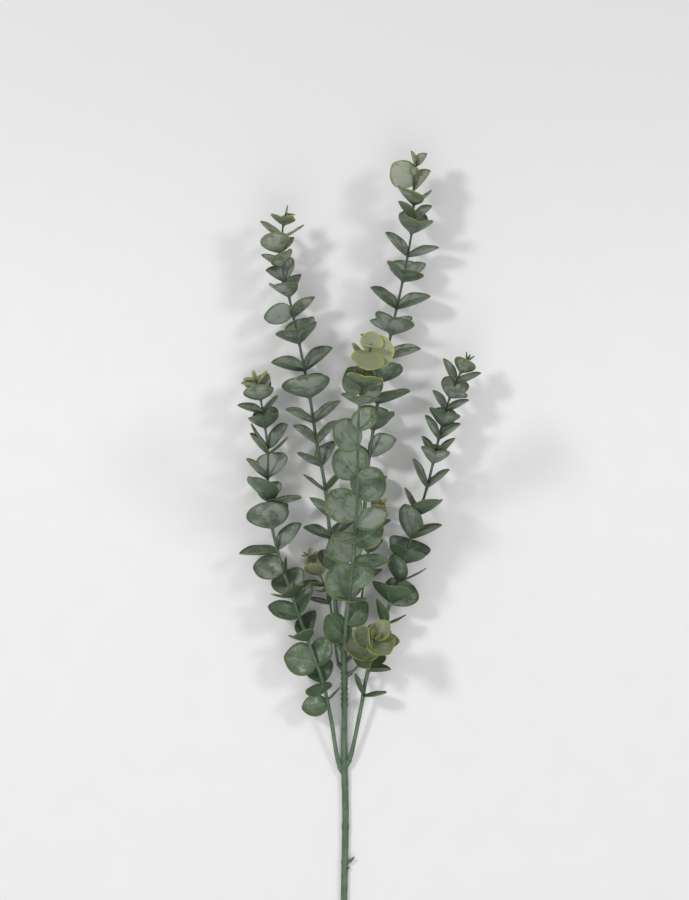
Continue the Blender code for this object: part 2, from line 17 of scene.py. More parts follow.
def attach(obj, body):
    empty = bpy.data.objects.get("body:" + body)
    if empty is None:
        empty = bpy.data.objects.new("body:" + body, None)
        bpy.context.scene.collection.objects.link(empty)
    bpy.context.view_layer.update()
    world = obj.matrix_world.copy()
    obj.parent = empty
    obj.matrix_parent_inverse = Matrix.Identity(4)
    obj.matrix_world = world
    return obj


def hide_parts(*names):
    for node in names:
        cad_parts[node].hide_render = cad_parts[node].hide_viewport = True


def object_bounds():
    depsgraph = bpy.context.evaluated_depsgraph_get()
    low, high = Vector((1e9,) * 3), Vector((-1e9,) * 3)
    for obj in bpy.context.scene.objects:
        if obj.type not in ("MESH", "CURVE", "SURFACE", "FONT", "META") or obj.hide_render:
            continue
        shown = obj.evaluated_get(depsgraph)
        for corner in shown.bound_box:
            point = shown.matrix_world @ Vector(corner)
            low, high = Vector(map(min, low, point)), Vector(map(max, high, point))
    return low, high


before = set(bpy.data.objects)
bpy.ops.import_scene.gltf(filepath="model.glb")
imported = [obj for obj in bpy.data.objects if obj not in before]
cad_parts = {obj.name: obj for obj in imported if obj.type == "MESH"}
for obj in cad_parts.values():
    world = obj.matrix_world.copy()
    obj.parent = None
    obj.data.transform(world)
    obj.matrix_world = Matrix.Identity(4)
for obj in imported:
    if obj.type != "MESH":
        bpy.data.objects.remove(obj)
cad_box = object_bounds()

MM = 0.001
UP = Vector((0, 0, 1))

# Driving dimensions, mm
STEM_RADIUS = 3.0
CENTRE_RADIUS = 2.7
SOCKET_SWELL = 0.45
SOCKET_LENGTH = 9.0
SOCKET_TAPER = 6.0
SEAT_GAP = 0.3
BLADE_THICKNESS = 0.7
BLADE_GAP = 1.2
OWN_GAP = 0.3
FLOOR_GAP = 0.1
WIDEST_REST = 88.0
HALVINGS = 24
PAIR_HEIGHT = 2.5
FOOT_DEPTH = 0.3
ROUTE_STEP = 2.0
STEM_SIDES = 8
SOCKET_SIDES = 6
SNAG_SIDES = 5

# A blade's rows follow a circle from its foot to its tip. Its sides rise from its middle by the cup times
# its breadth, and it is flatter the more its inner face is turned to the front
BLADE_STRIPS = 4
SMALL_BLADE_STRIPS = 3
SMALL_BLADE = 18.5
TIP_POINT = 0.05
CURL = 24.0
CURL_SPREAD = 7.0
CUP = 0.26
CUP_SPREAD = 0.03
FLAT_TURN = 110.0
SEED = 11

# What a blade tries, in this order, where it would meet another branch or the surface:
# degrees added to its roll, both ways, degrees added to its spread, and its size
TURNS = (
    (0, 0, 1.0), (0, -8, 1.0), (10, 0, 1.0), (0, 8, 1.0), (14, -10, 1.0), (0, -18, 1.0), (22, 0, 0.95),
    (22, -16, 0.95), (0, -28, 0.95), (36, 0, 0.9), (36, -20, 0.85), (0, 0, 0.8), (0, -20, 0.8),
    (50, -10, 0.8), (24, 0, 0.65), (0, -30, 0.65), (60, -24, 0.6), (0, -10, 0.5), (40, -30, 0.5),
)


@dataclass(frozen=True)
class Twig:
    """The radii of a twig at its socket and at its tip, and how coarsely it is drawn."""

    base_radius: float
    tip_radius: float
    ring_spacing: float
    sides: int


BRANCH_TWIG = Twig(2.2, 0.9, 18.0, 5)
SPRIG_TWIG = Twig(1.5, 0.8, 12.0, 4)


@dataclass(frozen=True)
class Blade:
    """One leaf. height is its foot's place up the stem from the fork. roll is 0 to the right, 90 to the
    front, 180 to the left and 270 to the back. spread is its angle from the twig. turn is its turn about
    its own axis: the inner face of a right leaf comes to the front where it is above 0, and that of a left
    leaf where it is below. One that rests is opened until it touches the surface, and so carries its
    branch. One without a cup of its own takes its branch's."""

    height: float
    roll: float
    length: float
    breadth: float
    spread: float
    turn: float = 0
    rests: bool = False
    curl: float = CURL
    cup: float | None = None


def pair(height, roll, length, breadth, spread, turn=0):
    """Two opposite leaves of one size."""
    return [
        Blade(height, roll, length, breadth, spread, turn),
        Blade(height, roll + 180, length, breadth, spread, turn),
    ]


# The bare stem and its middle, which goes on up between the branches to the crown
STEM_ROUTE = [
    (0, -172, 2.7), (0.5, -121, 2.7), (1.8, -50, 2.7), (1.2, -12, 3.2), (0.6, 25, 5.2), (0.9, 70, 10.5),
    (0.4, 106, 17.2),
]
CENTRE_START = 25

# Height and swell of each moulded ring
STEM_RINGS = ((-87, 0.7), (-56.5, 0.65), (-53.5, 0.65), (-17, 0.5))
RING_HALF_LENGTH = 1.1
TEETH_START = 52.0
TEETH_END = 86.0
TOOTH_PITCH = 4.8
TOOTH_RISE = 3.84
TOOTH_FOOT = 0.2
TOOTH_DEPTH = 0.85

# The routes of a broken snag and of the scar under it, with the distance and radius of each ring
STUBS = (
    ([(2.5, -88.5, 3), (6.4, -85.6, 3.4), (9.8, -82, 4.6)], [(0, 1.5), (4.6, 1.2), (7.6, 1.0), (9.8, 0.5)]),
    ([(2.2, -93.5, 3), (5.4, -91.4, 3.2)], [(0, 1.4), (2.4, 1.1), (3.8, 0.5)]),
)

# Each branch's route starts inside the stem, then passes through its own points
FAR_LEFT_ROUTE = [
    (0.2, -8, 3.2), (-4.8, 4, 5.2), (-8, 22, 9.5), (-11, 42, 14), (-19, 79, 20), (-32, 115, 23),
    (-46, 155, 23.5), (-59, 195, 24.5), (-67, 239, 27), (-67, 282, 30), (-72, 321, 34), (-77, 344, 37),
    (-79, 349, 39.5),
]
RIGHT_LOW_ROUTE = [
    (1.2, -2, 3.8), (6.6, 9, 6), (9.5, 22, 8.6), (16, 55, 14), (22, 87, 20), (36, 131, 24),
    (48, 166, 24.5), (60, 205, 25.5), (74, 250, 28), (84, 292, 32), (94, 330, 35), (104, 353, 37),
    (112, 368, 40),
]
LEFT_TALL_ROUTE = [
    (0.3, 103, 16.6), (-4, 113, 17.4), (-7, 141, 16), (-11, 194, 19), (-16, 248, 23), (-24, 292, 25),
    (-30, 331, 25.5), (-39, 377, 28), (-48, 418, 32), (-55, 451, 36), (-54, 476, 39), (-50, 494, 43),
]
RIGHT_TALL_ROUTE = [
    (0.6, 103, 16.6), (5, 113, 17.4), (8, 150, 15), (17, 212, 17), (22, 270, 21), (30, 323, 24.5),
    (41, 381, 25.5), (52, 431, 29), (60, 474, 34), (62, 500, 38), (62, 522, 41), (64, 538, 44),
]
FRONT_ROUTE = [
    (0.4, 103, 16.8), (0.7, 112, 22.5), (4.4, 148, 38), (8.3, 186, 62), (10.4, 218, 84), (12, 240, 101),
    (12.2, 283, 132), (13.3, 320, 158), (18.5, 351, 180), (22.8, 370, 196),
]
SPRIG_FRONT_ROUTE = [
    (1, 80, 12), (7, 85, 17), (14, 93, 25), (21, 104, 38), (25, 114, 52), (27, 122, 66),
]
SPRIG_BACK_LEFT_ROUTE = [
    (0.4, 86, 13), (-5, 94, 11.5), (-7.5, 112, 11.5), (-10, 132, 11), (-14.5, 156, 12), (-27, 183, 15),
    (-36, 193, 19),
]
SPRIG_BACK_RIGHT_ROUTE = [
    (0.8, 93, 14.5), (7.5, 101, 12), (12, 120, 11), (15, 140, 10), (21, 185, 11), (28, 221, 14),
    (33, 238, 19),
]

# Leaves of each branch: a plain row holds the first values of a blade
FAR_LEFT_BLADES = [
    (57, 180, 23, 20, 88, -60), (60, 8, 17, 5, 54), (76, 270, 27, 26, 45),
    Blade(76, 114, 23, 25, 104, cup=0.12), (94, 170, 29, 30, 58, -75), (92, -10, 26, 24, 42, 45),
    (116, -46, 27, 28, 44), (114, 115, 24, 24, 65), (136, 180, 28, 24, 54, -40), (138, 0, 29, 26, 44, 32),
    (154, 286, 29, 33, 44), (153, 110, 24, 27, 75), (176, 192, 27, 27, 64, -48), (173, 0, 15, 11, 24),
    (193, 180, 33, 26, 78, -12), (195, 0, 31, 31, 58, 22), Blade(214, 96, 30, 38, 36, cup=0.12),
    Blade(215, 275, 31, 34, 44, rests=True), (238, 122, 31, 32, 42, -10), (238, 300, 22, 24, 46),
    (237, 25, 32, 22, 87), (259, -60, 28, 31, 42), (258, 160, 26, 24, 50, -8), (280, 165, 24, 22, 40, -10),
    Blade(280, 5, 23, 18, 52, cup=0.08), Blade(287, 190, 25, 12, 60, cup=0.06), (286, 0, 29, 25, 64, 42),
    (303, 92, 26, 27, 64), (303, 283, 24, 24, 45), (316, 180, 23, 21, 64, -6), (316, 0, 20, 16, 50),
    Blade(328, 95, 22, 27, 50, cup=0.1), (328, 288, 22, 22, 38), (334, 190, 14, 12, 60),
    (334, -30, 19, 20, 50, 20), (341, 180, 14, 11, 70, -20), (341, 0, 15, 9, 50, 10),
    (346, 185, 11, 6, 72), (346, 80, 9, 3.5, 10),
]
LEFT_TALL_BLADES = [
    *pair(176, 60, 23, 22, 42), (205, 180, 25, 24, 64, -8), (205, 0, 24, 24, 60, 8),
    (224, 150, 25, 24, 42), (224, -30, 24, 24, 50), Blade(247, 180, 24, 20, 46, cup=0.08),
    (247, 0, 21, 20, 50), (269, 160, 25, 25, 52, -6), (269, -40, 27, 26, 46), (289, 180, 26, 26, 43, -6),
    (289, 0, 26, 26, 51, -4), (308, 168, 27, 30, 58, -8), (308, -10, 30, 30, 60, 2),
    Blade(330, 94, 31, 43, 53, cup=0.15), Blade(331, 275, 31, 32, 44, rests=True),
    (354, 180, 30, 34, 66, -12), (354, 0, 31, 35, 62, 16), (378, 88, 31, 38, 66, 4),
    (379, 300, 30, 30, 52), (404, 195, 26, 25, 84, -44), (401, 22, 27, 28, 60, -8),
    (419, 118, 25, 27, 58, -8), (420, -45, 24, 24, 50), (432, 172, 20, 26, 46, -22),
    (433, -52, 23, 22, 36), (445, 70, 23, 22, 54, 12), (445, 190, 21, 16, 50, -15),
    (458, 125, 24, 26, 48, 25), (458, -50, 20, 18, 50), (471, 180, 23, 18, 60, -8),
    Blade(471, 0, 22, 11, 54, 10, cup=0.05), (482, 98, 22, 22, 67, 2), (482, 300, 13, 13, 52),
    (492, 0, 8, 3.5, 84), (492, 180, 7, 3, 4),
]
RIGHT_TALL_BLADES = [
    *pair(205, 45, 24, 23, 42), *pair(243, -30, 26, 25, 50), (279, 0, 27, 31, 52, 32),
    (278, 190, 20, 14, 62), (301, 60, 29, 29, 50, 5), (301, 262, 28, 30, 46), (325, 22, 31, 32, 62, 6),
    (325, 185, 30, 27, 60), (344, 58, 27, 25, 50, -8), (344, 232, 28, 27, 50), (365, 0, 31, 33, 64, 8),
    (365, 180, 30, 28, 58), (386, 93, 34, 36, 65, -5), Blade(388, 268, 28, 38, 58, -17, rests=True),
    (409, 180, 29, 32, 64, -9), (409, 0, 31, 33, 58, 9), (433, 95, 30, 35, 70, -10),
    (434, 288, 29, 34, 54, -8), (455, 180, 28, 28, 54, -11), (455, 0, 28, 27, 64, -3),
    Blade(475, 82, 30, 30, 68, -4, cup=0.34), (476, 270, 24, 26, 42), (487, 150, 22, 17, 46, 6),
    (487, 0, 20, 18, 50, 22), Blade(500, 115, 28, 26, 60, -16, cup=0.3),
    Blade(500, -10, 20, 17, 50, cup=0.04), (518, 180, 25, 26, 46, -75), (513, 20, 22, 25, 44, 34),
    (534, 178, 13, 10, 26, -15), (533, 0, 15, 16, 34, 26), (525, 90, 9, 8, 30),
]
FRONT_BLADES = [
    (116, 168, 28, 27, 42, -55), (131, 0, 26, 25, 40, 45), (151, 232, 34, 36, 38, -16),
    Blade(153, 84, 20, 28, 66, cup=0.1), (166, -20, 25, 22, 46, 40), (187, 226, 28, 36, 60, -10),
    (187, 12, 32, 15, 76, 20), (203, -15, 28, 23, 60, 36), (210, 124, 35, 18, 70, -6),
    (220, -8, 29, 20, 66, 32), (224, 215, 32, 34, 64, -14), (243, -30, 30, 32, 46, 38),
    (260, 222, 29, 35, 48, -12), (265, 40, 25, 16, 74, 15), (286, 192, 29, 30, 44, -26),
    (300, 305, 22, 22, 58), Blade(321, 98, 26, 32, 42, 3, cup=0.16), Blade(336, 88, 24, 30, 38, cup=0.2),
    (331, 190, 24, 25, 28, -42), (328, -20, 23, 20, 44, 35), (337, 285, 18, 18, 40),
    Blade(364, 88, 28, 27, 84, cup=0.1), (364, 265, 16, 19, 42), (363, -8, 20, 26, 74, 40),
    Blade(369, 88, 11, 19, 60, cup=0.06), (354, 180, 22, 13, 42), (345, 178, 20, 12, 34, 10),
]
RIGHT_LOW_BLADES = [
    (65, 170, 22, 18, 42, -12), Blade(64, 20, 22, 20, 68, cup=0.12), (87, 175, 26, 20, 82),
    (87, 5, 20, 18, 72), (89, 275, 22, 24, 50), *pair(109, 80, 24, 22, 50), (128, 150, 25, 24, 36, -10),
    Blade(128, 0, 22, 16, 48, cup=0.05), (147, -50, 29, 34, 44, 25), (148, 108, 28, 36, 60, 8),
    (167, 135, 26, 22, 34, 8), Blade(167, 0, 27, 17, 48, cup=0.06), (183, 90, 28, 33, 62),
    (184, 270, 28, 38, 48), (205, 135, 33, 27, 34, 10), (205, 0, 29, 23, 50, 6),
    (226, 166, 27, 17, 46, -4), (226, 55, 29, 30, 50, 14), (250, 172, 28, 25, 42, -10),
    (250, 0, 25, 19, 36, 4), Blade(272, 92, 26, 26, 62, cup=0.32), (272, 270, 20, 22, 42),
    (276, 180, 22, 20, 60, -8), (276, 0, 25, 20, 34), (293, 172, 24, 23, 44, -8), (293, -5, 23, 22, 42, 6),
    Blade(305, 95, 26, 28, 64, cup=0.34), (305, 275, 20, 22, 40), (318, 180, 21, 21, 48, -10),
    (318, 0, 22, 20, 50, 8), (330, 78, 22, 24, 66, -12), (330, 280, 24, 25, 44),
    (342, 180, 24, 21, 50, -14), (342, 0, 24, 20, 44, 8), (352, 92, 19, 20, 48), (352, 280, 14, 12, 32),
    (362, 0, 8, 4, 30), (362, 180, 8, 4, 30),
]
SPRIG_FRONT_BLADES = [
    (98, 95, 20, 20, 64), (98, 275, 20, 18, 50), (106, 148, 24, 23, 74), (106, 300, 20, 20, 50),
    (113, 185, 21, 21, 62), (113, -12, 25, 18, 62), (118, 42, 23, 26, 66), (118, 180, 19, 22, 20),
    (120, -50, 20, 17, 48), (121.5, 10, 9, 8, 30), (121.5, 190, 9, 8, 30),
]
SPRIG_BACK_LEFT_BLADES = [
    Blade(172, 75, 21, 24, 44, cup=0.1), (146, 178, 20, 14, 66), (162, 180, 20, 15, 60),
    (146, 20, 15, 13, 34), (158, 110, 14, 15, 76), (175, -60, 18, 16, 36), (189, 0, 8, 5, 60),
    (189, 180, 6, 4, 50),
]
SPRIG_BACK_RIGHT_BLADES = [
    *pair(165, 0, 20, 18, 48), *pair(192, 80, 21, 19, 45), *pair(212, 0, 18, 17, 50),
    *pair(227, 80, 15, 13, 45), *pair(234, 10, 10, 8, 32),
]


@dataclass(frozen=True)
class Branch:
    """A branch, the heights between which its leaves turn young and yellow and how yellow they get, how
    yellow the rims of its older leaves are, and the cup and finish of its leaves."""

    route: list
    blades: list
    young: tuple
    rims: float = 0.36
    cup: float = CUP
    finish: str = "leaf_grey_green"


# The branches seen in front come first: later blades give way to earlier ones
BRANCHES = {
    "branch_front": Branch(FRONT_ROUTE, FRONT_BLADES, (322, 368, 0.86), 0.6, 0.13, "leaf_front_green"),
    "sprig_front": Branch(
        SPRIG_FRONT_ROUTE, SPRIG_FRONT_BLADES, (80, 112, 0.5), 0.95, 0.16, "leaf_front_green"
    ),
    "branch_left_tall": Branch(LEFT_TALL_ROUTE, LEFT_TALL_BLADES, (410, 485, 0.34)),
    "branch_right_tall": Branch(RIGHT_TALL_ROUTE, RIGHT_TALL_BLADES, (450, 530, 0.36)),
    "branch_far_left": Branch(FAR_LEFT_ROUTE, FAR_LEFT_BLADES, (320, 346, 0.75), 0.4),
    "branch_right_low": Branch(RIGHT_LOW_ROUTE, RIGHT_LOW_BLADES, (330, 370, 0.3)),
    "sprig_back_left": Branch(SPRIG_BACK_LEFT_ROUTE, SPRIG_BACK_LEFT_BLADES, (156, 178, 0.75), 0.4),
    "sprig_back_right": Branch(SPRIG_BACK_RIGHT_ROUTE, SPRIG_BACK_RIGHT_BLADES, (205, 238, 0.7)),
}


# Routes

def smooth(points, step):
    """Points about one step apart on the smooth curve through the given ones."""
    points = [Vector(p) for p in points]
    line = []
    for i in range(len(points) - 1):
        before = points[max(i - 1, 0)]
        start, end = points[i], points[i + 1]
        after = points[min(i + 2, len(points) - 1)]
        count = max(2, round((end - start).length / step))
        for k in range(count):
            t = k / count
            line.append(0.5 * (
                2 * start + (end - before) * t
                + (2 * before - 5 * start + 4 * end - after) * t * t
                + (3 * start - before - 3 * end + after) * t ** 3
            ))
    line.append(points[-1])
    return line


def lengths(line):
    """The distance of each point from the start of the line, along it."""
    total = [0.0]
    for a, b in zip(line, line[1:]):
        total.append(total[-1] + (b - a).length)
    return total


def measured(route, step=ROUTE_STEP):
    """The smooth line of a route, with its lengths."""
    line = smooth(route, step)
    return line, lengths(line)


def place(line, distance, total):
    """The point at this distance along the line, and the line's direction there."""
    distance = min(max(distance, 0.0), total[-1])
    i = 0
    while i < len(line) - 2 and total[i + 1] < distance:
        i += 1
    share = (distance - total[i]) / (total[i + 1] - total[i])
    before = line[max(i - 1, 0)]
    after = line[min(i + 2, len(line) - 1)]
    return line[i].lerp(line[i + 1], share), (after - before).normalized()


def distance_at(line, total, height):
    """How far along the line it passes this height up the stem."""
    for i in range(len(line) - 1):
        if line[i].y <= height <= line[i + 1].y:
            share = (height - line[i].y) / (line[i + 1].y - line[i].y)
            return total[i] + share * (total[i + 1] - total[i])
    return total[-1]


def across(along):
    """The directions to the right of the line and to its front."""
    side = along.cross(UP).normalized()
    return side, side.cross(along)


# Solids, each as (points, faces) in millimetres

def side_faces(rings, sides):
    """The faces between rings of points."""
    faces = []
    for first in range(0, (rings - 1) * sides, sides):
        for k in range(sides):
            a, b = first + k, first + (k + 1) % sides
            faces.append((a, b, b + sides, a + sides))
    return faces


def tube(line, total, stops, sides, floor=None):
    """A closed tube with a ring at each stop, which is (distance, radius). Rings are flat underneath."""
    points = []
    for distance, radius in stops:
        centre, along = place(line, distance, total)
        side, front = across(along)
        for k in range(sides):
            angle = 2 * math.pi * (k + 0.5) / sides
            point = centre + radius * (math.cos(angle) * side + math.sin(angle) * front)
            if floor is not None:
                point.z = max(point.z, floor)
            points.append(point)
    ends = [tuple(reversed(range(sides))), tuple(range(len(points) - sides, len(points)))]
    return points, side_faces(len(stops), sides) + ends


def even_stops(start, end, start_radius, end_radius, spacing):
    count = max(1, round((end - start) / spacing))
    return [
        (start + (end - start) * k / count, start_radius + (end_radius - start_radius) * k / count)
        for k in range(count + 1)
    ]


def blade_frame(line, total, blade):
    """A leaf's foot, its directions along the twig, out from it and across, its lean at the foot, its bend
    and cup, and the turn about its own axis."""
    foot, along = place(line, distance_at(line, total, blade.height), total)
    side, front = across(along)
    roll = math.radians(blade.roll)
    out = math.cos(roll) * side + math.sin(roll) * front
    start = math.radians(blade.spread + blade.curl / 2)
    bend = math.radians(blade.curl)
    cup = blade.cup * (1 - abs(blade.turn) / FLAT_TURN)
    middle_lean = start - bend / 2
    axis = math.cos(middle_lean) * along + math.sin(middle_lean) * out
    turned = Matrix.Rotation(math.radians(blade.turn), 3, axis)
    return foot, (along, out, out.cross(along)), start, bend, cup, turned


def blade_solid(line, total, blade, root, grow=0.0):
    """A leaf: round with a short point, clasping the twig at its foot, curled and cupped to the tip."""
    foot, (along, out, width_way), start, bend, cup, turned = blade_frame(line, total, blade)
    small = blade.length < SMALL_BLADE
    strips = SMALL_BLADE_STRIPS if small else BLADE_STRIPS
    thickness = BLADE_THICKNESS + 2 * grow
    length = blade.length + grow
    half_breadth = blade.breadth / 2 + grow
    top, under = [], []
    for row in range(strips + 1):
        angle = math.pi * row / strips
        share = (1 - math.cos(angle)) / 2
        if row == strips:
            share += TIP_POINT
        lean = start - bend * share
        middle = length / bend * (
            (math.sin(start) - math.sin(lean)) * along + (math.cos(lean) - math.cos(start)) * out
        )
        inner = math.sin(lean) * along - math.cos(lean) * out
        half = half_breadth * math.sin(angle)
        rise = cup * blade.breadth * math.sin(angle)
        if row in (0, strips):
            columns = (0,)
        elif small:
            columns = (-1, 1)
        else:
            columns = (-1, 0, 1)
        for column in columns:
            point = middle + column * half * width_way + (column * column * rise + grow) * inner
            top.append(point)
            under.append(point - thickness * inner)
    start_at = foot + root * out
    points = [start_at + turned @ p for p in top + under]
    return points, blade_faces(strips, 2 if small else 3)


def blade_faces(strips, columns):
    """Both faces of a blade are split into triangles alike, then joined round the rim."""
    tip = columns * (strips - 1) + 1
    last = tip - columns
    upper = []
    for column in range(columns - 1):
        upper.append((0, 1 + column, 2 + column))
        for a in range(1 + column, last, columns):
            if column == 0:
                upper += [(a, a + columns, a + columns + 1), (a, a + columns + 1, a + 1)]
            else:
                upper += [(a, a + columns, a + 1), (a + 1, a + columns, a + columns + 1)]
        upper.append((last + column, tip, last + column + 1))
    count = tip + 1
    under = [(c + count, b + count, a + count) for a, b, c in upper]
    rim = [0] + list(range(columns, tip, columns)) + [tip] + list(range(last, 0, -columns))
    walls = []
    for a, b in zip(rim, rim[1:] + rim[:1]):
        walls += [(a, b, b + count), (a, b + count, a + count)]
    return upper + under + walls


# Leaves that give way

def tree_of(solid):
    return BVHTree.FromPolygons([tuple(p) for p in solid[0]], solid[1])


def meets(tree, others):
    return any(tree.overlap(other) for other in others)


def lowest(line, total, blade, root):
    return min(p.z for p in blade_solid(line, total, blade, root)[0])


def rested(line, total, blade, root):
    """The blade opened, by halving the range of its spread, until it touches the surface."""
    narrow, wide = blade.spread, WIDEST_REST
    for _ in range(HALVINGS):
        middle = (narrow + wide) / 2
        if lowest(line, total, replace(blade, spread=middle), root) > FLOOR_GAP:
            narrow = middle
        else:
            wide = middle
    return replace(blade, spread=narrow)


def settled(line, total, blade, root, others, own):
    """The blade as first drawn or, where it would meet something, the first of its turns that is clear."""
    if blade.rests:
        blade = rested(line, total, blade, root)
    tries = [(way * roll, *rest) for roll, *rest in TURNS for way in ((1, -1) if roll else (1,))]
    for also_own in (True, False):
        for add_roll, add_spread, size in tries:
            moved = replace(
                blade,
                roll=blade.roll + add_roll,
                spread=blade.spread + add_spread,
                length=blade.length * size,
                breadth=blade.breadth * size,
            )
            low = lowest(line, total, moved, root) < FLOOR_GAP
            if low or meets(tree_of(blade_solid(line, total, moved, root, BLADE_GAP)), others):
                continue
            if also_own and meets(tree_of(blade_solid(line, total, moved, root, OWN_GAP)), own):
                continue
            return moved
    return None


def varied(branch, draw):
    """Each leaf gets a curl and a cup of its own."""
    return [
        replace(
            blade,
            curl=CURL + draw.uniform(-CURL_SPREAD, CURL_SPREAD),
            cup=(branch.cup if blade.cup is None else blade.cup) + draw.uniform(-CUP_SPREAD, CUP_SPREAD),
        )
        for blade in (Blade(*row) if isinstance(row, tuple) else row for row in branch.blades)
    ]


def twig_of(name):
    return SPRIG_TWIG if name.startswith("sprig") else BRANCH_TWIG


def leafed():
    """Every branch's line, twig and settled blades."""
    draw = random.Random(SEED)
    drawn = {}
    for name, branch in BRANCHES.items():
        line, total = measured(branch.route)
        twig = twig_of(name)
        start = SOCKET_LENGTH + SEAT_GAP
        stops = even_stops(start, total[-1], twig.base_radius, twig.tip_radius, twig.ring_spacing)
        drawn[name] = {
            "line": (line, total),
            "twig": tube(line, total, stops, twig.sides),
            "root": -FOOT_DEPTH * twig.tip_radius,
            "blades": varied(branch, draw),
        }
    trees = {name: [tree_of(branch["twig"])] for name, branch in drawn.items()}
    trees["main_stem"] = [tree_of(solid) for solid in stem_solids()]
    for name, branch in drawn.items():
        others = [tree for other, group in trees.items() if other != name for tree in group]
        own = []
        kept = []
        for blade in branch["blades"]:
            near = [tree for height, tree in own if abs(height - blade.height) > PAIR_HEIGHT]
            found = settled(*branch["line"], blade, branch["root"], others, near)
            if found is None:
                continue
            kept.append(found)
            tree = tree_of(blade_solid(*branch["line"], found, branch["root"]))
            own.append((blade.height, tree))
            trees[name].append(tree)
        branch["blades"] = kept
    return drawn


# The stem

def stem_stops(line, total):
    """Rings of the stem: its ends, its moulded rings, and the saw teeth of its middle."""
    stops = [(0.0, STEM_RADIUS)]
    for height, swell in STEM_RINGS:
        middle = distance_at(line, total, height)
        stops += [
            (middle - RING_HALF_LENGTH, STEM_RADIUS),
            (middle, STEM_RADIUS + swell),
            (middle + RING_HALF_LENGTH, STEM_RADIUS),
        ]
    stops.append((distance_at(line, total, 0), STEM_RADIUS))
    stops.append((distance_at(line, total, CENTRE_START), CENTRE_RADIUS))
    foot = CENTRE_RADIUS - TOOTH_FOOT
    height = TEETH_START
    while height < TEETH_END:
        at = distance_at(line, total, height)
        stops += [(at, foot), (at + TOOTH_RISE, foot + TOOTH_DEPTH)]
        height += TOOTH_PITCH
    stops += [(distance_at(line, total, height), foot), (total[-1], CENTRE_RADIUS)]
    return stops


def stem_solids():
    """The stem, a socket for each branch, and the snag and bud scar low on it."""
    line, total = measured(STEM_ROUTE)
    solids = [tube(line, total, stem_stops(line, total), STEM_SIDES, 0.0)]
    for name, branch in BRANCHES.items():
        twig = twig_of(name)
        collar = twig.base_radius + SOCKET_SWELL
        stops = [(0.0, twig.base_radius), (SOCKET_TAPER, collar), (SOCKET_LENGTH, collar)]
        solids.append(tube(*measured(branch.route), stops, SOCKET_SIDES))
    for route, stops in STUBS:
        solids.append(tube(*measured(route), stops, SNAG_SIDES))
    return solids


# Fine drawing, mm

LEAF_ROWS = 28
LEAF_COLUMNS = 18
COLUMN_CROWDING = 0.35
LEAF_THICKNESS = 0.6
LEAF_INSET = 0.05
RIM_ROUND = 0.2
FOOT_HALF_WIDTH = 1.3
TIP_HALF_WIDTH = 0.2
TIP_SHARPNESS = 26.0
FOLD_POWER = 1.45
# Height of the rim's wave on a leaf of this breadth, and the range of its share from leaf to leaf
WAVE_HEIGHT = 0.42
WAVE_BREADTH = 30
WAVE_SHARE = (0.5, 1.3)
WAVE_TURNS = 1.3
WAVE_SHIFT = 0.9
LOBE_SKEW = 0.05
VEIN_PAIRS = 7
VEIN_SLANT = 1.5
VEIN_RELIEF = 0.22
MIDRIB_RELIEF = 0.2
MIDRIB_WIDTH = 0.07
RIM_SHARE = (0.5, 1.0)
LOOKS_SEED = 23

TWIG_FINE_SIDES = 14
TWIG_FINE_STEP = 1.2
TWIG_INSIDE_SOCKET = 3.0
TWIG_WOBBLE = 0.03
TWIG_WOBBLE_LENGTH = 7
NODE_SWELL = 0.4
NODE_HALF_LENGTH = 1.8
NODE_GROWTH = 0.3
TWIG_TIP_SHARE = 0.35
TWIG_TIP_TAPER = 2.5

STEM_FINE_SIDES = 28
STEM_FINE_STEP = 0.6
STEM_FINE_RADIUS = 2.9
CENTRE_FINE_RADIUS = 2.6
RING_SHARPNESS = 0.5
RING_LIP_APART = 1.3
SEAM_HEIGHT = 0.07
SEAM_POWER = 24
TOOTH_POWER = 4
# The shares of a tooth's pitch at which it is highest and at which it ends
TOOTH_TOP = 0.8
TOOTH_END = 0.93
END_ROUND = 0.4
STEM_END_SHARE = 0.86
# Height, length and number round the stem of each unevenness
STEM_UNEVEN = ((0.05, 5, 2), (0.03, 1.9, 3))

SOCKET_FINE_SIDES = 18
SOCKET_FINE_STEP = 0.5
SOCKET_FINE_SWELL = 0.405
SOCKET_LIP = 0.2
SOCKET_LIP_INSET = 1.1
SOCKET_LIP_HALF_LENGTH = 0.8
SOCKET_END_SHARE = 0.8
SOCKET_WOBBLE = 0.015

STUB_ROUTE_STEP = 0.5
STUB_STEP = 0.4
STUB_SIDES = 12
STUB_SIZE = 1.1
STUB_WOBBLE = 0.12
STUB_TWIST = 1.7

# Older leaves have lost most of their bloom up to the first height and keep it from the second on
WORN_BELOW = 110
KEPT_ABOVE = 330

# What the materials read at each point of a piece: the share of the leaf's length and breadth, the
# distance from its rim in mm, 1 on its inner face, how young it is, how yellow its rim is, a tint of its
# own, how much of its bloom is worn off, and 1 on a twig. A tube gives its distance in mm as the first of
# them and how far to the side it faces as the second
ATTRIBUTES = ("along", "across", "edge", "inner", "young", "rim", "tint", "worn", "twig")


def clamped(share):
    return min(1, max(0, share))


def eased(share):
    return share * share * (3 - 2 * share)


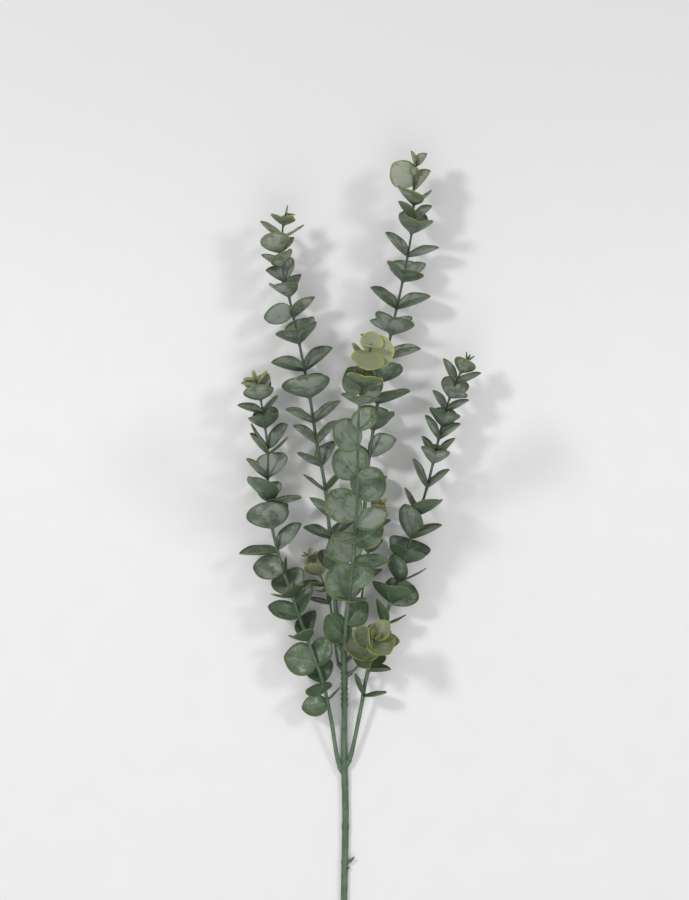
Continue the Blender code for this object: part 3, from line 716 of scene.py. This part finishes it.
def mesh_piece(name, parts):
    """One mesh object from parts of (points in mm, faces, attributes)."""
    points = []
    faces = []
    values = {key: [] for key in ATTRIBUTES}
    count = 0
    for part_points, part_faces, part_values in parts:
        points.append(part_points)
        faces += [tuple(count + k for k in face) for face in part_faces]
        for key in ATTRIBUTES:
            values[key].append(np.broadcast_to(part_values.get(key, 0.0), len(part_points)))
        count += len(part_points)
    points = np.clip((np.concatenate(points) + OBJECT_MOVE) * MM, *np.array(cad_box))
    mesh = bpy.data.meshes.new(name)
    mesh.from_pydata(points.tolist(), [], faces)
    mesh.shade_smooth()
    for key in ATTRIBUTES:
        layer = mesh.attributes.new(key, "FLOAT", "POINT")
        layer.data.foreach_set("value", np.concatenate(values[key]).astype(np.float32))
    return add_object(name, mesh)


def fine_blade(line, total, blade, root, young, rim, draw):
    """The leaf of blade_solid drawn finely: a soft fold, a waved rim with a round section, and veins."""
    foot, (along, out, width_way), start, bend, cup, turned = blade_frame(line, total, blade)
    wave_phase = draw.uniform(0, 2 * math.pi)
    wave = WAVE_HEIGHT * blade.breadth / WAVE_BREADTH * draw.uniform(*WAVE_SHARE)
    skew = draw.uniform(-LOBE_SKEW, LOBE_SKEW)
    tint = draw.random()
    rim_strength = rim * draw.uniform(*RIM_SHARE)

    angle = np.linspace(0, math.pi, LEAF_ROWS + 1)[:, None]
    even = (1 - np.cos(angle)) / 2
    share = even + TIP_POINT * np.exp(TIP_SHARPNESS * (even - 1))
    u = np.linspace(-1, 1, LEAF_COLUMNS + 1)[None, :]
    c = u * (1 + COLUMN_CROWDING * (1 - u * u))
    swell = np.sin(angle)
    least = FOOT_HALF_WIDTH + (TIP_HALF_WIDTH - FOOT_HALF_WIDTH) * np.sqrt(even)
    half = np.sqrt((blade.breadth / 2 * swell) ** 2 + least ** 2) * (1 + skew * np.sign(c) * swell)
    from_middle = np.abs(c)
    rise = cup * blade.breadth * swell * from_middle ** FOLD_POWER
    ripple = wave * from_middle ** 2 * np.sin(
        2 * math.pi * WAVE_TURNS * even + wave_phase + WAVE_SHIFT * np.sign(c)
    ) * swell
    vein = np.cos(2 * math.pi * (VEIN_PAIRS * even - VEIN_SLANT * from_middle)) * swell
    vein *= from_middle * (1 - from_middle)
    midrib = np.exp(-(c / MIDRIB_WIDTH) ** 2) * (1 - even)
    relief = VEIN_RELIEF * vein - MIDRIB_RELIEF * midrib
    lean = start - bend * share
    centre_along = blade.length / bend * (math.sin(start) - np.sin(lean))
    centre_out = blade.length / bend * (np.cos(lean) - math.cos(start))

    def face(depth):
        lift = rise + ripple + relief - depth
        up, outward = centre_along + lift * np.sin(lean), centre_out - lift * np.cos(lean)
        return np.stack([up, outward, c * half], axis=-1)

    top, under = (face(depth).reshape(-1, 3) for depth in (LEAF_INSET, LEAF_INSET + LEAF_THICKNESS))
    rows, columns = LEAF_ROWS + 1, LEAF_COLUMNS + 1
    count = rows * columns
    grid = np.arange(count).reshape(rows, columns)
    loop = np.concatenate([grid[0], grid[1:, -1], grid[-1, -2::-1], grid[-2:0:-1, 0]])
    within = np.pad(grid[1:-1, 1:-1], 1, "edge").ravel()[loop]
    outward = top[loop] - top[within]
    outward /= np.linalg.norm(outward, axis=1, keepdims=True) + 1e-9
    rim_middle = (top[loop] + under[loop]) / 2 + RIM_ROUND * outward
    basis = np.array([turned @ along, turned @ out, turned @ width_way])
    points = np.concatenate([top, under, rim_middle]) @ basis + np.array(foot + root * out)

    quads = grid[:-1, :-1].reshape(-1, 1) + np.array((0, 1, columns + 1, columns))
    faces = np.stack([quads, quads[:, ::-1] + count], axis=1).reshape(-1, 4).tolist()
    middle = 2 * count + np.arange(len(loop))
    a, b, rim_a, rim_b = loop, np.roll(loop, -1), middle, np.roll(middle, -1)
    round_rim = np.stack([b, a, rim_a, rim_b, rim_b, rim_a, a + count, b + count], axis=1)
    faces += round_rim.reshape(-1, 4).tolist()

    values = {
        "inner": np.repeat([1, 0, 0.5], [count, count, len(loop)]),
        "young": young,
        "rim": rim_strength,
        "tint": tint,
        "worn": clamped((KEPT_ABOVE - blade.height) / (KEPT_ABOVE - WORN_BELOW)) * (1 - young),
    }
    edge = np.minimum((1 - from_middle) * half, (1 - even) * blade.length)
    for key, value in (("along", even), ("across", c), ("edge", edge)):
        flat = np.broadcast_to(value, (rows, columns)).ravel()
        values[key] = np.concatenate([flat, flat, flat[loop]])
    values["edge"][2 * count:] = 0
    return points, faces, values


def fine_tube(line, total, end, step, sides, radius_at, start=0, floor=None):
    """A closed round tube. radius_at gives its radius at a distance along it and an angle round it."""
    count = max(2, round((end - start) / step))
    angles = 2 * math.pi * (np.arange(sides) + 0.5) / sides
    distances = [start + (end - start) * k / count for k in range(count + 1)]
    rings = []
    for distance in distances:
        centre, along = place(line, distance, total)
        side, front = across(along)
        radius = radius_at(distance, angles)[:, None]
        ring = np.array(centre) + radius * (
            np.cos(angles)[:, None] * np.array(side) + np.sin(angles)[:, None] * np.array(front)
        )
        if floor is not None:
            ring[:, 2] = np.maximum(ring[:, 2], floor)
        rings.append(ring)
    points = np.concatenate(rings + [[rings[0].mean(axis=0)], [rings[-1].mean(axis=0)]])
    faces = side_faces(count + 1, sides)
    first, last = len(points) - 2, len(points) - 1
    for k in range(sides):
        faces.append(((k + 1) % sides, k, first))
        faces.append((count * sides + k, count * sides + (k + 1) % sides, last))
    along_tube = np.concatenate([np.repeat(distances, sides), [start, end]])
    sideways = np.concatenate([np.tile(np.abs(np.cos(angles)), count + 1), [0, 0]])
    return points, faces, {"along": along_tube, "across": sideways, "twig": 1.0}


def swelling(distance, middle, half_length):
    return math.exp(-((distance - middle) / half_length) ** 2)


def rounded_end(share, to_end):
    """The part of its radius that a tube has this near its end, with this share at the end itself."""
    return min(1, share + (1 - share) * to_end / END_ROUND)


def fine_twig(name, branch):
    """A twig that thins to its tip, with a swelling at each pair of leaves."""
    line, total = branch["line"]
    twig = twig_of(name)
    start = SOCKET_LENGTH - TWIG_INSIDE_SOCKET
    nodes = sorted({round(distance_at(line, total, blade.height), 1) for blade in branch["blades"]})
    apothem = math.cos(math.pi / twig.sides)

    def radius_at(distance, angles):
        share = (distance - start) / (total[-1] - start)
        plain = (twig.base_radius + share * (twig.tip_radius - twig.base_radius)) * (1 + apothem) / 2
        swell = max((swelling(distance, node, NODE_HALF_LENGTH) for node in nodes), default=0)
        tip = min(1, TWIG_TIP_SHARE + (total[-1] - distance) / TWIG_TIP_TAPER)
        wobble = 1 + TWIG_WOBBLE * np.sin(2 * angles + distance / TWIG_WOBBLE_LENGTH)
        return (plain + NODE_SWELL * swell * share ** NODE_GROWTH) * tip * wobble

    return fine_tube(line, total, total[-1], TWIG_FINE_STEP, TWIG_FINE_SIDES, radius_at, start)


def leafy_piece(name, branch):
    draw = random.Random(f"{LOOKS_SEED} {name}")
    parts = [fine_twig(name, branch)]
    start, end, most = BRANCHES[name].young
    rims = BRANCHES[name].rims
    for blade in branch["blades"]:
        young = most * eased(clamped((blade.height - start) / (end - start)))
        rim = rims + (1 - rims) * young
        parts.append(fine_blade(*branch["line"], blade, branch["root"], young, rim, draw))
    finish_piece(mesh_piece(name + "_leaves", parts), name, BRANCHES[name].finish)


def finish_piece(piece, node, slot):
    piece.data.materials.append(material_for(slot))
    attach(piece, "root")
    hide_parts(node)


def stem_radius(line, total):
    """The radius of the stem: mould rings with a double lip, saw teeth at both sides, and the seam."""
    rings = [(distance_at(line, total, height), swell) for height, swell in STEM_RINGS]
    thin_from, thin_to, teeth_from, teeth_to = (
        distance_at(line, total, height) for height in (0, CENTRE_START, TEETH_START, TEETH_END)
    )

    def radius_at(distance, angles):
        share = clamped((distance - thin_from) / (thin_to - thin_from))
        radius = STEM_FINE_RADIUS + share * (CENTRE_FINE_RADIUS - STEM_FINE_RADIUS)
        for middle, swell in rings:
            for lip in (-RING_LIP_APART / 2, RING_LIP_APART / 2):
                radius += swell * swelling(distance, middle + lip, RING_SHARPNESS)
        sideways = np.abs(np.cos(angles))
        radius = radius + SEAM_HEIGHT * sideways ** SEAM_POWER
        if teeth_from < distance < teeth_to:
            tooth = ((distance - teeth_from) / TOOTH_PITCH) % 1
            slope = min(1, tooth / TOOTH_TOP) * (tooth < TOOTH_END)
            radius = radius + (TOOTH_DEPTH * slope - TOOTH_FOOT) * sideways ** TOOTH_POWER
        uneven = sum(a * np.sin(distance / length + times * angles) for a, length, times in STEM_UNEVEN)
        return (radius + uneven) * rounded_end(STEM_END_SHARE, min(distance, total[-1] - distance))

    return radius_at


def fine_socket(name):
    """The short sleeve that a branch is pushed into, with a rounded lip."""
    base = twig_of(name).base_radius

    def radius_at(distance, angles):
        radius = base + SOCKET_FINE_SWELL * eased(min(1, distance / SOCKET_TAPER))
        radius += SOCKET_LIP * swelling(distance, SOCKET_LENGTH - SOCKET_LIP_INSET, SOCKET_LIP_HALF_LENGTH)
        radius *= rounded_end(SOCKET_END_SHARE, SOCKET_LENGTH - distance)
        return radius * (1 + SOCKET_WOBBLE * np.sin(3 * angles + distance))

    line, total = measured(BRANCHES[name].route)
    return fine_tube(line, total, SOCKET_LENGTH, SOCKET_FINE_STEP, SOCKET_FINE_SIDES, radius_at)


def stub(route, stops):
    line, total = measured(route, STUB_ROUTE_STEP)
    distances, radii = zip(*stops)

    def radius_at(distance, angles):
        radius = float(np.interp(distance, distances, radii)) * STUB_SIZE
        return radius * (1 + STUB_WOBBLE * np.sin(2 * angles + STUB_TWIST * distance))

    return fine_tube(line, total, total[-1], STUB_STEP, STUB_SIDES, radius_at)


def stem_piece():
    line, total = measured(STEM_ROUTE)
    radius_at = stem_radius(line, total)
    parts = [fine_tube(line, total, total[-1], STEM_FINE_STEP, STEM_FINE_SIDES, radius_at, floor=0.0)]
    parts += [fine_socket(name) for name in BRANCHES]
    parts += [stub(*route_and_stops) for route_and_stops in STUBS]
    finish_piece(mesh_piece("moulded_stem", parts), "main_stem", "stem_green")


# Materials

class Shader:
    """A node tree that is written as formulas: each call adds a node and returns its output."""

    def __init__(self, name):
        self.material = bpy.data.materials.new(name)
        self.material.use_nodes = True
        self.tree = self.material.node_tree
        self.surface = self.tree.nodes["Principled BSDF"]

    def node(self, kind, inputs, **settings):
        made = self.tree.nodes.new(kind)
        for key, value in settings.items():
            setattr(made, key, value)
        for key, value in inputs.items():
            self.feed(made.inputs[key], value)
        return made

    def feed(self, socket, value):
        if isinstance(value, bpy.types.NodeSocket):
            self.tree.links.new(value, socket)
        else:
            socket.default_value = value

    def attributes(self, *names):
        return [self.node("ShaderNodeAttribute", {}, attribute_name=name).outputs["Fac"] for name in names]

    def math(self, operation, a, b=0.0, clamp=False):
        return self.node("ShaderNodeMath", {0: a, 1: b}, operation=operation, use_clamp=clamp).outputs[0]

    def times(self, a, *others):
        for other in others:
            a = self.math("MULTIPLY", a, other)
        return a

    def plus(self, a, b, clamp=False):
        return self.math("ADD", a, b, clamp)

    def minus(self, a, b):
        return self.math("SUBTRACT", a, b)

    def rest(self, a):
        return self.minus(1.0, a)

    def total(self, *terms):
        """The sum of values, each given with its weight."""
        made = self.times(*terms[0])
        for value, weight in terms[1:]:
            made = self.plus(made, self.times(value, weight))
        return made

    def ramp(self, value, low, high):
        """0 where the value is low, 1 where it is high, smoothly between."""
        inputs = {"Value": value, "From Min": low, "From Max": high}
        return self.node("ShaderNodeMapRange", inputs, interpolation_type="SMOOTHSTEP").outputs["Result"]

    def mix(self, share, first, second):
        """Two colours, each a node's output or plain red, green and blue."""
        first, second = ((*value, 1) if isinstance(value, tuple) else value for value in (first, second))
        inputs = {0: share, 6: first, 7: second}
        return self.node("ShaderNodeMix", inputs, data_type="RGBA").outputs[2]

    def noise(self, vector, scale, detail, roughness):
        inputs = {"Vector": vector, "Scale": scale, "Detail": detail, "Roughness": roughness}
        return self.node("ShaderNodeTexNoise", inputs).outputs["Fac"]

    def place(self):
        return self.node("ShaderNodeTexCoord", {}).outputs["Object"]

    def up(self):
        """The place along the stem, in metres from the middle of the part."""
        return self.node("ShaderNodeSeparateXYZ", {0: self.place()}).outputs["Y"]

    def finish(self, colour, roughness, height, distance):
        bump = self.node("ShaderNodeBump", {"Height": height, "Distance": distance}).outputs["Normal"]
        for key, value in (("Base Color", colour), ("Roughness", roughness), ("Normal", bump)):
            self.feed(self.surface.inputs[key], value)
        return self.material


# How the noises are sized: on the leaf's own length, breadth and tint, and by place
LEAF_STRETCH = (2.6, 1.5, 61.0)
BRUSHED_SCALE = 1.3
PATCH_SCALE = 62.0
SPECK_SCALE = 560.0

# Where each ramp of the leaves starts and ends
MARGIN_WIDTH = (5.5, 1.2)
BLOOM_TO_BARE = (0.45, 0.62)
BARE_TO_DEEP = (0.6, 0.84)
FRESH_FROM_WORN = (0.45, 1.0)
DARK_TINTS = (0.35, 1.0)
# Painted shade darkens each leaf towards its foot, by the twig and the leaves round it
FOOT_PAINTED_SHADE = (0.4, 0.0)
VEIN_WIDTH = (0.02, 0.13)
VEIN_ENDS = (0.95, 0.6)
MIDRIB_LINE = (0.025, 0.075)
MIDRIB_ENDS = (1.0, 0.55)
BARE_RIM = (1.5, 0.5)
WIDE_RIM = (4.5, 0.5)
BROKEN_RIM = (0.34, 0.56)
GREEN_PATCHES = (0.36, 0.62)
TWIG_FADE = (-0.02, 0.16)

# How strongly each colour, tone or painted shade is laid over the leaf, and the widths of its yellow rim in
# mm
DEEP_SHARE = 0.7
# Painted shade: the outer face of each leaf is darkened, more on the worn lower leaves
UNDERSIDE_PAINTED_SHADE = 0.3
DARKER_LEAVES = 0.36
# Painted shade at the foot of each leaf
BASE_PAINTED_SHADE = 0.16
LINE_SHARE = 0.3
YOUNG_SHARE = 0.22
YOUNG_BRUSHED = 0.4
YOUNG_MARGIN = 0.5
BARE_RIM_SHARE = 0.5
WIDE_RIM_SHARE = 0.16
RIM_WIDTH = 0.75
YOUNG_RIM_WIDTH = 0.9
RIM_LEAST = 0.2
LEAF_ROUGHNESS = 0.47
BLOOM_ROUGHNESS = 0.22
LEAF_BUMP = 0.00016

FRESH_COLOUR = (0.106, 0.160, 0.086)
VEIN_COLOUR = (0.24, 0.30, 0.24)
YOUNG_COLOUR = (0.38, 0.365, 0.145)
RIM_COLOUR = (0.38, 0.39, 0.10)
TWIG_BLOOM = (0.135, 0.195, 0.135)
TWIG_GREEN = (0.065, 0.110, 0.062)
TWIG_UPPER = (0.042, 0.066, 0.046)


def leaf_material(name, bloom, green, deep_and_shade, twig_dim):
    """Moulded leaf: a powdery bloom that is brushed off in patches, yellow-green rims and young tips, with
    painted shade on the outer faces and towards the feet.
    """
    s = Shader(name)
    along, sideways, edge, inner, young, rim, tint, worn, twig = s.attributes(*ATTRIBUTES)
    from_middle = s.math("ABSOLUTE", sideways)
    leaf_only = s.rest(twig)
    where = s.place()
    stretched = [s.times(value, scale) for value, scale in zip((along, sideways, tint), LEAF_STRETCH)]
    on_leaf = s.node("ShaderNodeCombineXYZ", dict(enumerate(stretched))).outputs[0]
    brushed = s.noise(on_leaf, BRUSHED_SCALE, 3.0, 0.5)
    patches = s.noise(where, PATCH_SCALE, 3.0, 0.55)
    specks = s.noise(where, SPECK_SCALE, 2.5, 0.65)

    margin = s.ramp(s.plus(edge, s.times(patches, 3.0)), *MARGIN_WIDTH)
    wear = s.total(
        (brushed, 0.6), (patches, 0.4), (s.minus(specks, 0.5), 0.36), (s.minus(0.5, inner), 0.10),
        (s.minus(tint, 0.5), 0.12), (s.times(worn, worn), 0.21), (margin, 0.18),
    )
    bare = s.mix(s.ramp(worn, *FRESH_FROM_WORN), green, FRESH_COLOUR)
    colour = s.mix(s.ramp(wear, *BLOOM_TO_BARE), bloom, bare)
    colour = s.mix(s.times(s.ramp(wear, *BARE_TO_DEEP), DEEP_SHARE), colour, deep_and_shade)
    # Painted shade: the outer faces and the feet of the leaves are darkened towards the deep colour; some
    # leaves are also darker at random, a tone of their own, and young leaves are shaded less
    painted_underside_shade = s.times(s.rest(inner), UNDERSIDE_PAINTED_SHADE, s.plus(0.35, s.times(worn, 0.65)))
    tone_and_painted_shade = s.plus(painted_underside_shade, s.times(s.ramp(tint, *DARK_TINTS), DARKER_LEAVES))
    tone_and_painted_shade = s.plus(tone_and_painted_shade, s.times(s.ramp(along, *FOOT_PAINTED_SHADE), BASE_PAINTED_SHADE))
    tone_and_painted_shade = s.times(tone_and_painted_shade, s.rest(s.times(young, 0.5)))
    colour = s.mix(tone_and_painted_shade, colour, deep_and_shade)

    phase = s.minus(s.times(along, float(VEIN_PAIRS)), s.times(from_middle, VEIN_SLANT))
    phase = s.math("FRACT", s.plus(phase, s.times(brushed, 0.35)))
    veins = s.rest(s.ramp(s.math("ABSOLUTE", s.minus(phase, 0.5)), *VEIN_WIDTH))
    veins = s.times(veins, s.ramp(from_middle, *VEIN_ENDS))
    midrib = s.times(s.rest(s.ramp(from_middle, *MIDRIB_LINE)), s.ramp(along, *MIDRIB_ENDS))
    lines = s.times(s.math("MAXIMUM", s.times(veins, 0.5), midrib), leaf_only)
    youthful = s.times(young, s.plus(YOUNG_SHARE, s.times(brushed, YOUNG_BRUSHED)))
    youthful = s.plus(youthful, s.times(young, margin, YOUNG_MARGIN), clamp=True)
    colour = s.mix(youthful, colour, YOUNG_COLOUR)
    colour = s.mix(s.times(lines, LINE_SHARE), colour, VEIN_COLOUR)

    bare_rim = s.times(s.ramp(edge, *BARE_RIM), s.rest(young), BARE_RIM_SHARE, leaf_only)
    colour = s.mix(bare_rim, colour, deep_and_shade)
    uneven_edge = s.plus(edge, s.times(s.minus(specks, 0.5), 0.5))
    rim_width = s.plus(RIM_WIDTH, s.times(young, YOUNG_RIM_WIDTH))
    broken = s.math("MAXIMUM", s.ramp(patches, *BROKEN_RIM), young)
    at_rim = s.times(s.ramp(uneven_edge, rim_width, RIM_LEAST), rim, broken, leaf_only)
    wide_rim = s.times(s.ramp(edge, *WIDE_RIM), s.times(rim, WIDE_RIM_SHARE), leaf_only)
    colour = s.mix(s.math("MAXIMUM", at_rim, wide_rim), colour, RIM_COLOUR)

    twig_shade = s.times(s.plus(patches, specks), 0.5)
    twig_colour = s.mix(s.ramp(twig_shade, *GREEN_PATCHES), TWIG_BLOOM, TWIG_GREEN)
    twig_colour = s.mix(s.times(s.ramp(s.up(), *TWIG_FADE), twig_dim), twig_colour, TWIG_UPPER)
    colour = s.mix(twig, colour, twig_colour)

    roughness = s.plus(LEAF_ROUGHNESS, s.times(s.rest(wear), BLOOM_ROUGHNESS))
    return s.finish(colour, roughness, s.total((lines, -0.5), (specks, 0.35), (brushed, 0.5)), LEAF_BUMP)


STREAK_SCALES = (900.0, 60.0, 900.0)

# Where each ramp of the stem starts and ends, and the share of the colour laid over it there
STEM_UPPER = (215.0, 270.0)
STEM_DUST = (0.55, 0.8)
SEAM_WIDTH = (0.86, 1.0)
# Painted shade at both sides of the stem along its saw teeth
TOOTH_SHADE_WIDTH = (0.6, 0.95)
TOOTH_SHADE_FADE = 2
UPPER_SHARE = 0.45
DUST_SHARE = 0.25
SEAM_SHARE = 0.8
TOOTH_SHADE_SHARE = 0.75
STEM_ROUGHNESS = 0.42
PATCH_ROUGHNESS = 0.25
STEM_BUMP = 0.00012
STEM_LIGHT = (0.110, 0.180, 0.108)
STEM_DARK = (0.062, 0.112, 0.062)
SEAM_COLOUR = (0.13, 0.11, 0.065)
TOOTH_SHADE_COLOUR = (0.022, 0.042, 0.026)


def stem_material():
    """Moulded stem: mid green, streaked along its length, with brownish seams, and painted shade at both
    sides where the saw teeth are.
    """
    s = Shader("stem_green")
    along, sideways = s.attributes("along", "across")
    stretched = s.node("ShaderNodeVectorMath", {0: s.place(), 1: STREAK_SCALES}, operation="MULTIPLY")
    streaks = s.noise(stretched.outputs[0], 1.0, 3.0, 0.6)
    patches = s.noise(s.place(), 95.0, 3.0, 0.6)
    specks = s.noise(s.place(), 900.0, 2.0, 0.5)
    shade = s.total((streaks, 0.4), (patches, 0.6))
    colour = s.mix(s.ramp(shade, *GREEN_PATCHES), STEM_LIGHT, STEM_DARK)
    colour = s.mix(s.times(s.ramp(along, *STEM_UPPER), UPPER_SHARE), colour, TWIG_GREEN)
    colour = s.mix(s.times(s.ramp(specks, *STEM_DUST), DUST_SHARE), colour, TWIG_BLOOM)
    seam = s.times(s.ramp(sideways, *SEAM_WIDTH), s.times(patches, SEAM_SHARE))
    colour = s.mix(seam, colour, SEAM_COLOUR)
    # Painted shade: both sides of the stem are darkened along the saw teeth
    start, end = TEETH_START - STEM_ROUTE[0][1], TEETH_END - STEM_ROUTE[0][1]
    teeth = s.times(
        s.ramp(along, start - TOOTH_SHADE_FADE, start + TOOTH_SHADE_FADE),
        s.ramp(along, end + TOOTH_SHADE_FADE, end - TOOTH_SHADE_FADE),
        s.ramp(sideways, *TOOTH_SHADE_WIDTH),
        TOOTH_SHADE_SHARE,
    )
    colour = s.mix(teeth, colour, TOOTH_SHADE_COLOUR)
    roughness = s.plus(STEM_ROUGHNESS, s.times(patches, PATCH_ROUGHNESS))
    return s.finish(colour, roughness, s.total((streaks, 0.6), (specks, 0.4)), STEM_BUMP)


# Each leaf finish: its bloom, the green under it, its deepest green, which is also the colour of its
# painted shade, and how dark the upper twigs are
LEAF_FINISHES = {
    "leaf_grey_green": ((0.305, 0.342, 0.295), (0.122, 0.162, 0.116), (0.036, 0.074, 0.034), 0.6),
    "leaf_front_green": ((0.205, 0.248, 0.194), (0.080, 0.134, 0.070), (0.028, 0.068, 0.026), 0.15),
}


def material_for(slot):
    return leaf_material(slot, *LEAF_FINISHES[slot]) if slot in LEAF_FINISHES else stem_material()


# Stage, light and camera, in metres

FLOOR_REACH = 4.0
FLOOR_GRAIN = 35.0
FLOOR_ROUGHNESS = 0.85
FLOOR_COLOURS = ((0.80, 0.80, 0.80), (0.79, 0.79, 0.79))
# Painted shade: the floor darkens towards its far side, +Y, as the light falls off there
FLOOR_SHADE_COLOUR = (0.70, 0.70, 0.70)
FLOOR_SHADE_FADE = (0.08, 0.52)
FLOOR_BUMP = 0.0001
CAMERA_HEIGHT = 2.0
VIEW_HEIGHT = 0.81
SENSOR = 24.0
AIM = np.array((0.9, 283.5))
SKY = 0.42

# Place, the point it is aimed at, size and power of each light
LIGHTS = {
    "light_upper_left": ((-1.15, 0.76, 1.60), (0, 0, 0), 0.28, 14.4),
    "light_upper_right": ((1.40, 0.72, 1.55), (0, 0, 0), 0.40, 10.6),
    "fill_low": ((0, -1.30, 2.20), (0, -0.4, 0), 2.4, 25.0),
}


def add_object(name, data, at=(0, 0, 0)):
    made = bpy.data.objects.new(name, data)
    made.location = at
    bpy.context.scene.collection.objects.link(made)
    return made


def stage():
    mesh = bpy.data.meshes.new("floor")
    corners = [(x * FLOOR_REACH, y * FLOOR_REACH, 0) for x, y in ((-1, -1), (1, -1), (1, 1), (-1, 1))]
    mesh.from_pydata(corners, [], [(0, 1, 2, 3)])
    s = Shader("floor")
    grain = s.noise(s.place(), FLOOR_GRAIN, 3.0, 0.5)
    colour = s.mix(s.ramp(grain, 0.3, 0.7), *FLOOR_COLOURS)
    # Painted shade towards the far side of the floor
    colour = s.mix(s.ramp(s.up(), *FLOOR_SHADE_FADE), colour, FLOOR_SHADE_COLOUR)
    mesh.materials.append(s.finish(colour, s.plus(FLOOR_ROUGHNESS, s.times(grain, 0.1)), grain, FLOOR_BUMP))
    add_object("floor", mesh)


def lights():
    for name, (at, aim, size, power) in LIGHTS.items():
        light = bpy.data.lights.new(name, "AREA")
        light.size = size
        light.energy = power
        made = add_object(name, light, at)
        made.rotation_euler = (Vector(aim) - Vector(at)).to_track_quat("-Z", "Y").to_euler()
    world = bpy.data.worlds.new("studio")
    world.use_nodes = True
    world.node_tree.nodes["Background"].inputs["Color"].default_value = (1, 1, 1, 1)
    world.node_tree.nodes["Background"].inputs["Strength"].default_value = SKY
    bpy.context.scene.world = world


def camera():
    """Looks straight down on the stem, as the photograph looks straight at it."""
    lens = bpy.data.cameras.new("camera")
    lens.sensor_fit = "VERTICAL"
    lens.sensor_height = SENSOR
    lens.lens = SENSOR * CAMERA_HEIGHT / VIEW_HEIGHT
    bpy.context.scene.camera = add_object("camera", lens, (*((AIM + OBJECT_MOVE[:2]) * MM), CAMERA_HEIGHT))


def object_move(drawn):
    """The move that centres the whole stem on the origin and puts it on the surface."""
    points = [p for solid in stem_solids() for p in solid[0]]
    for branch in drawn.values():
        points += branch["twig"][0]
        for blade in branch["blades"]:
            points += blade_solid(*branch["line"], blade, branch["root"])[0]
    low, high = ([end(p[i] for p in points) for i in range(3)] for end in (min, max))
    return np.array([-(low[0] + high[0]) / 2, -(low[1] + high[1]) / 2, -low[2]])


drawn_branches = leafed()
OBJECT_MOVE = object_move(drawn_branches)
camera()
stem_piece()
for branch_name, drawn_branch in drawn_branches.items():
    leafy_piece(branch_name, drawn_branch)
stage()
lights()
bpy.context.scene.view_settings.view_transform = "Standard"
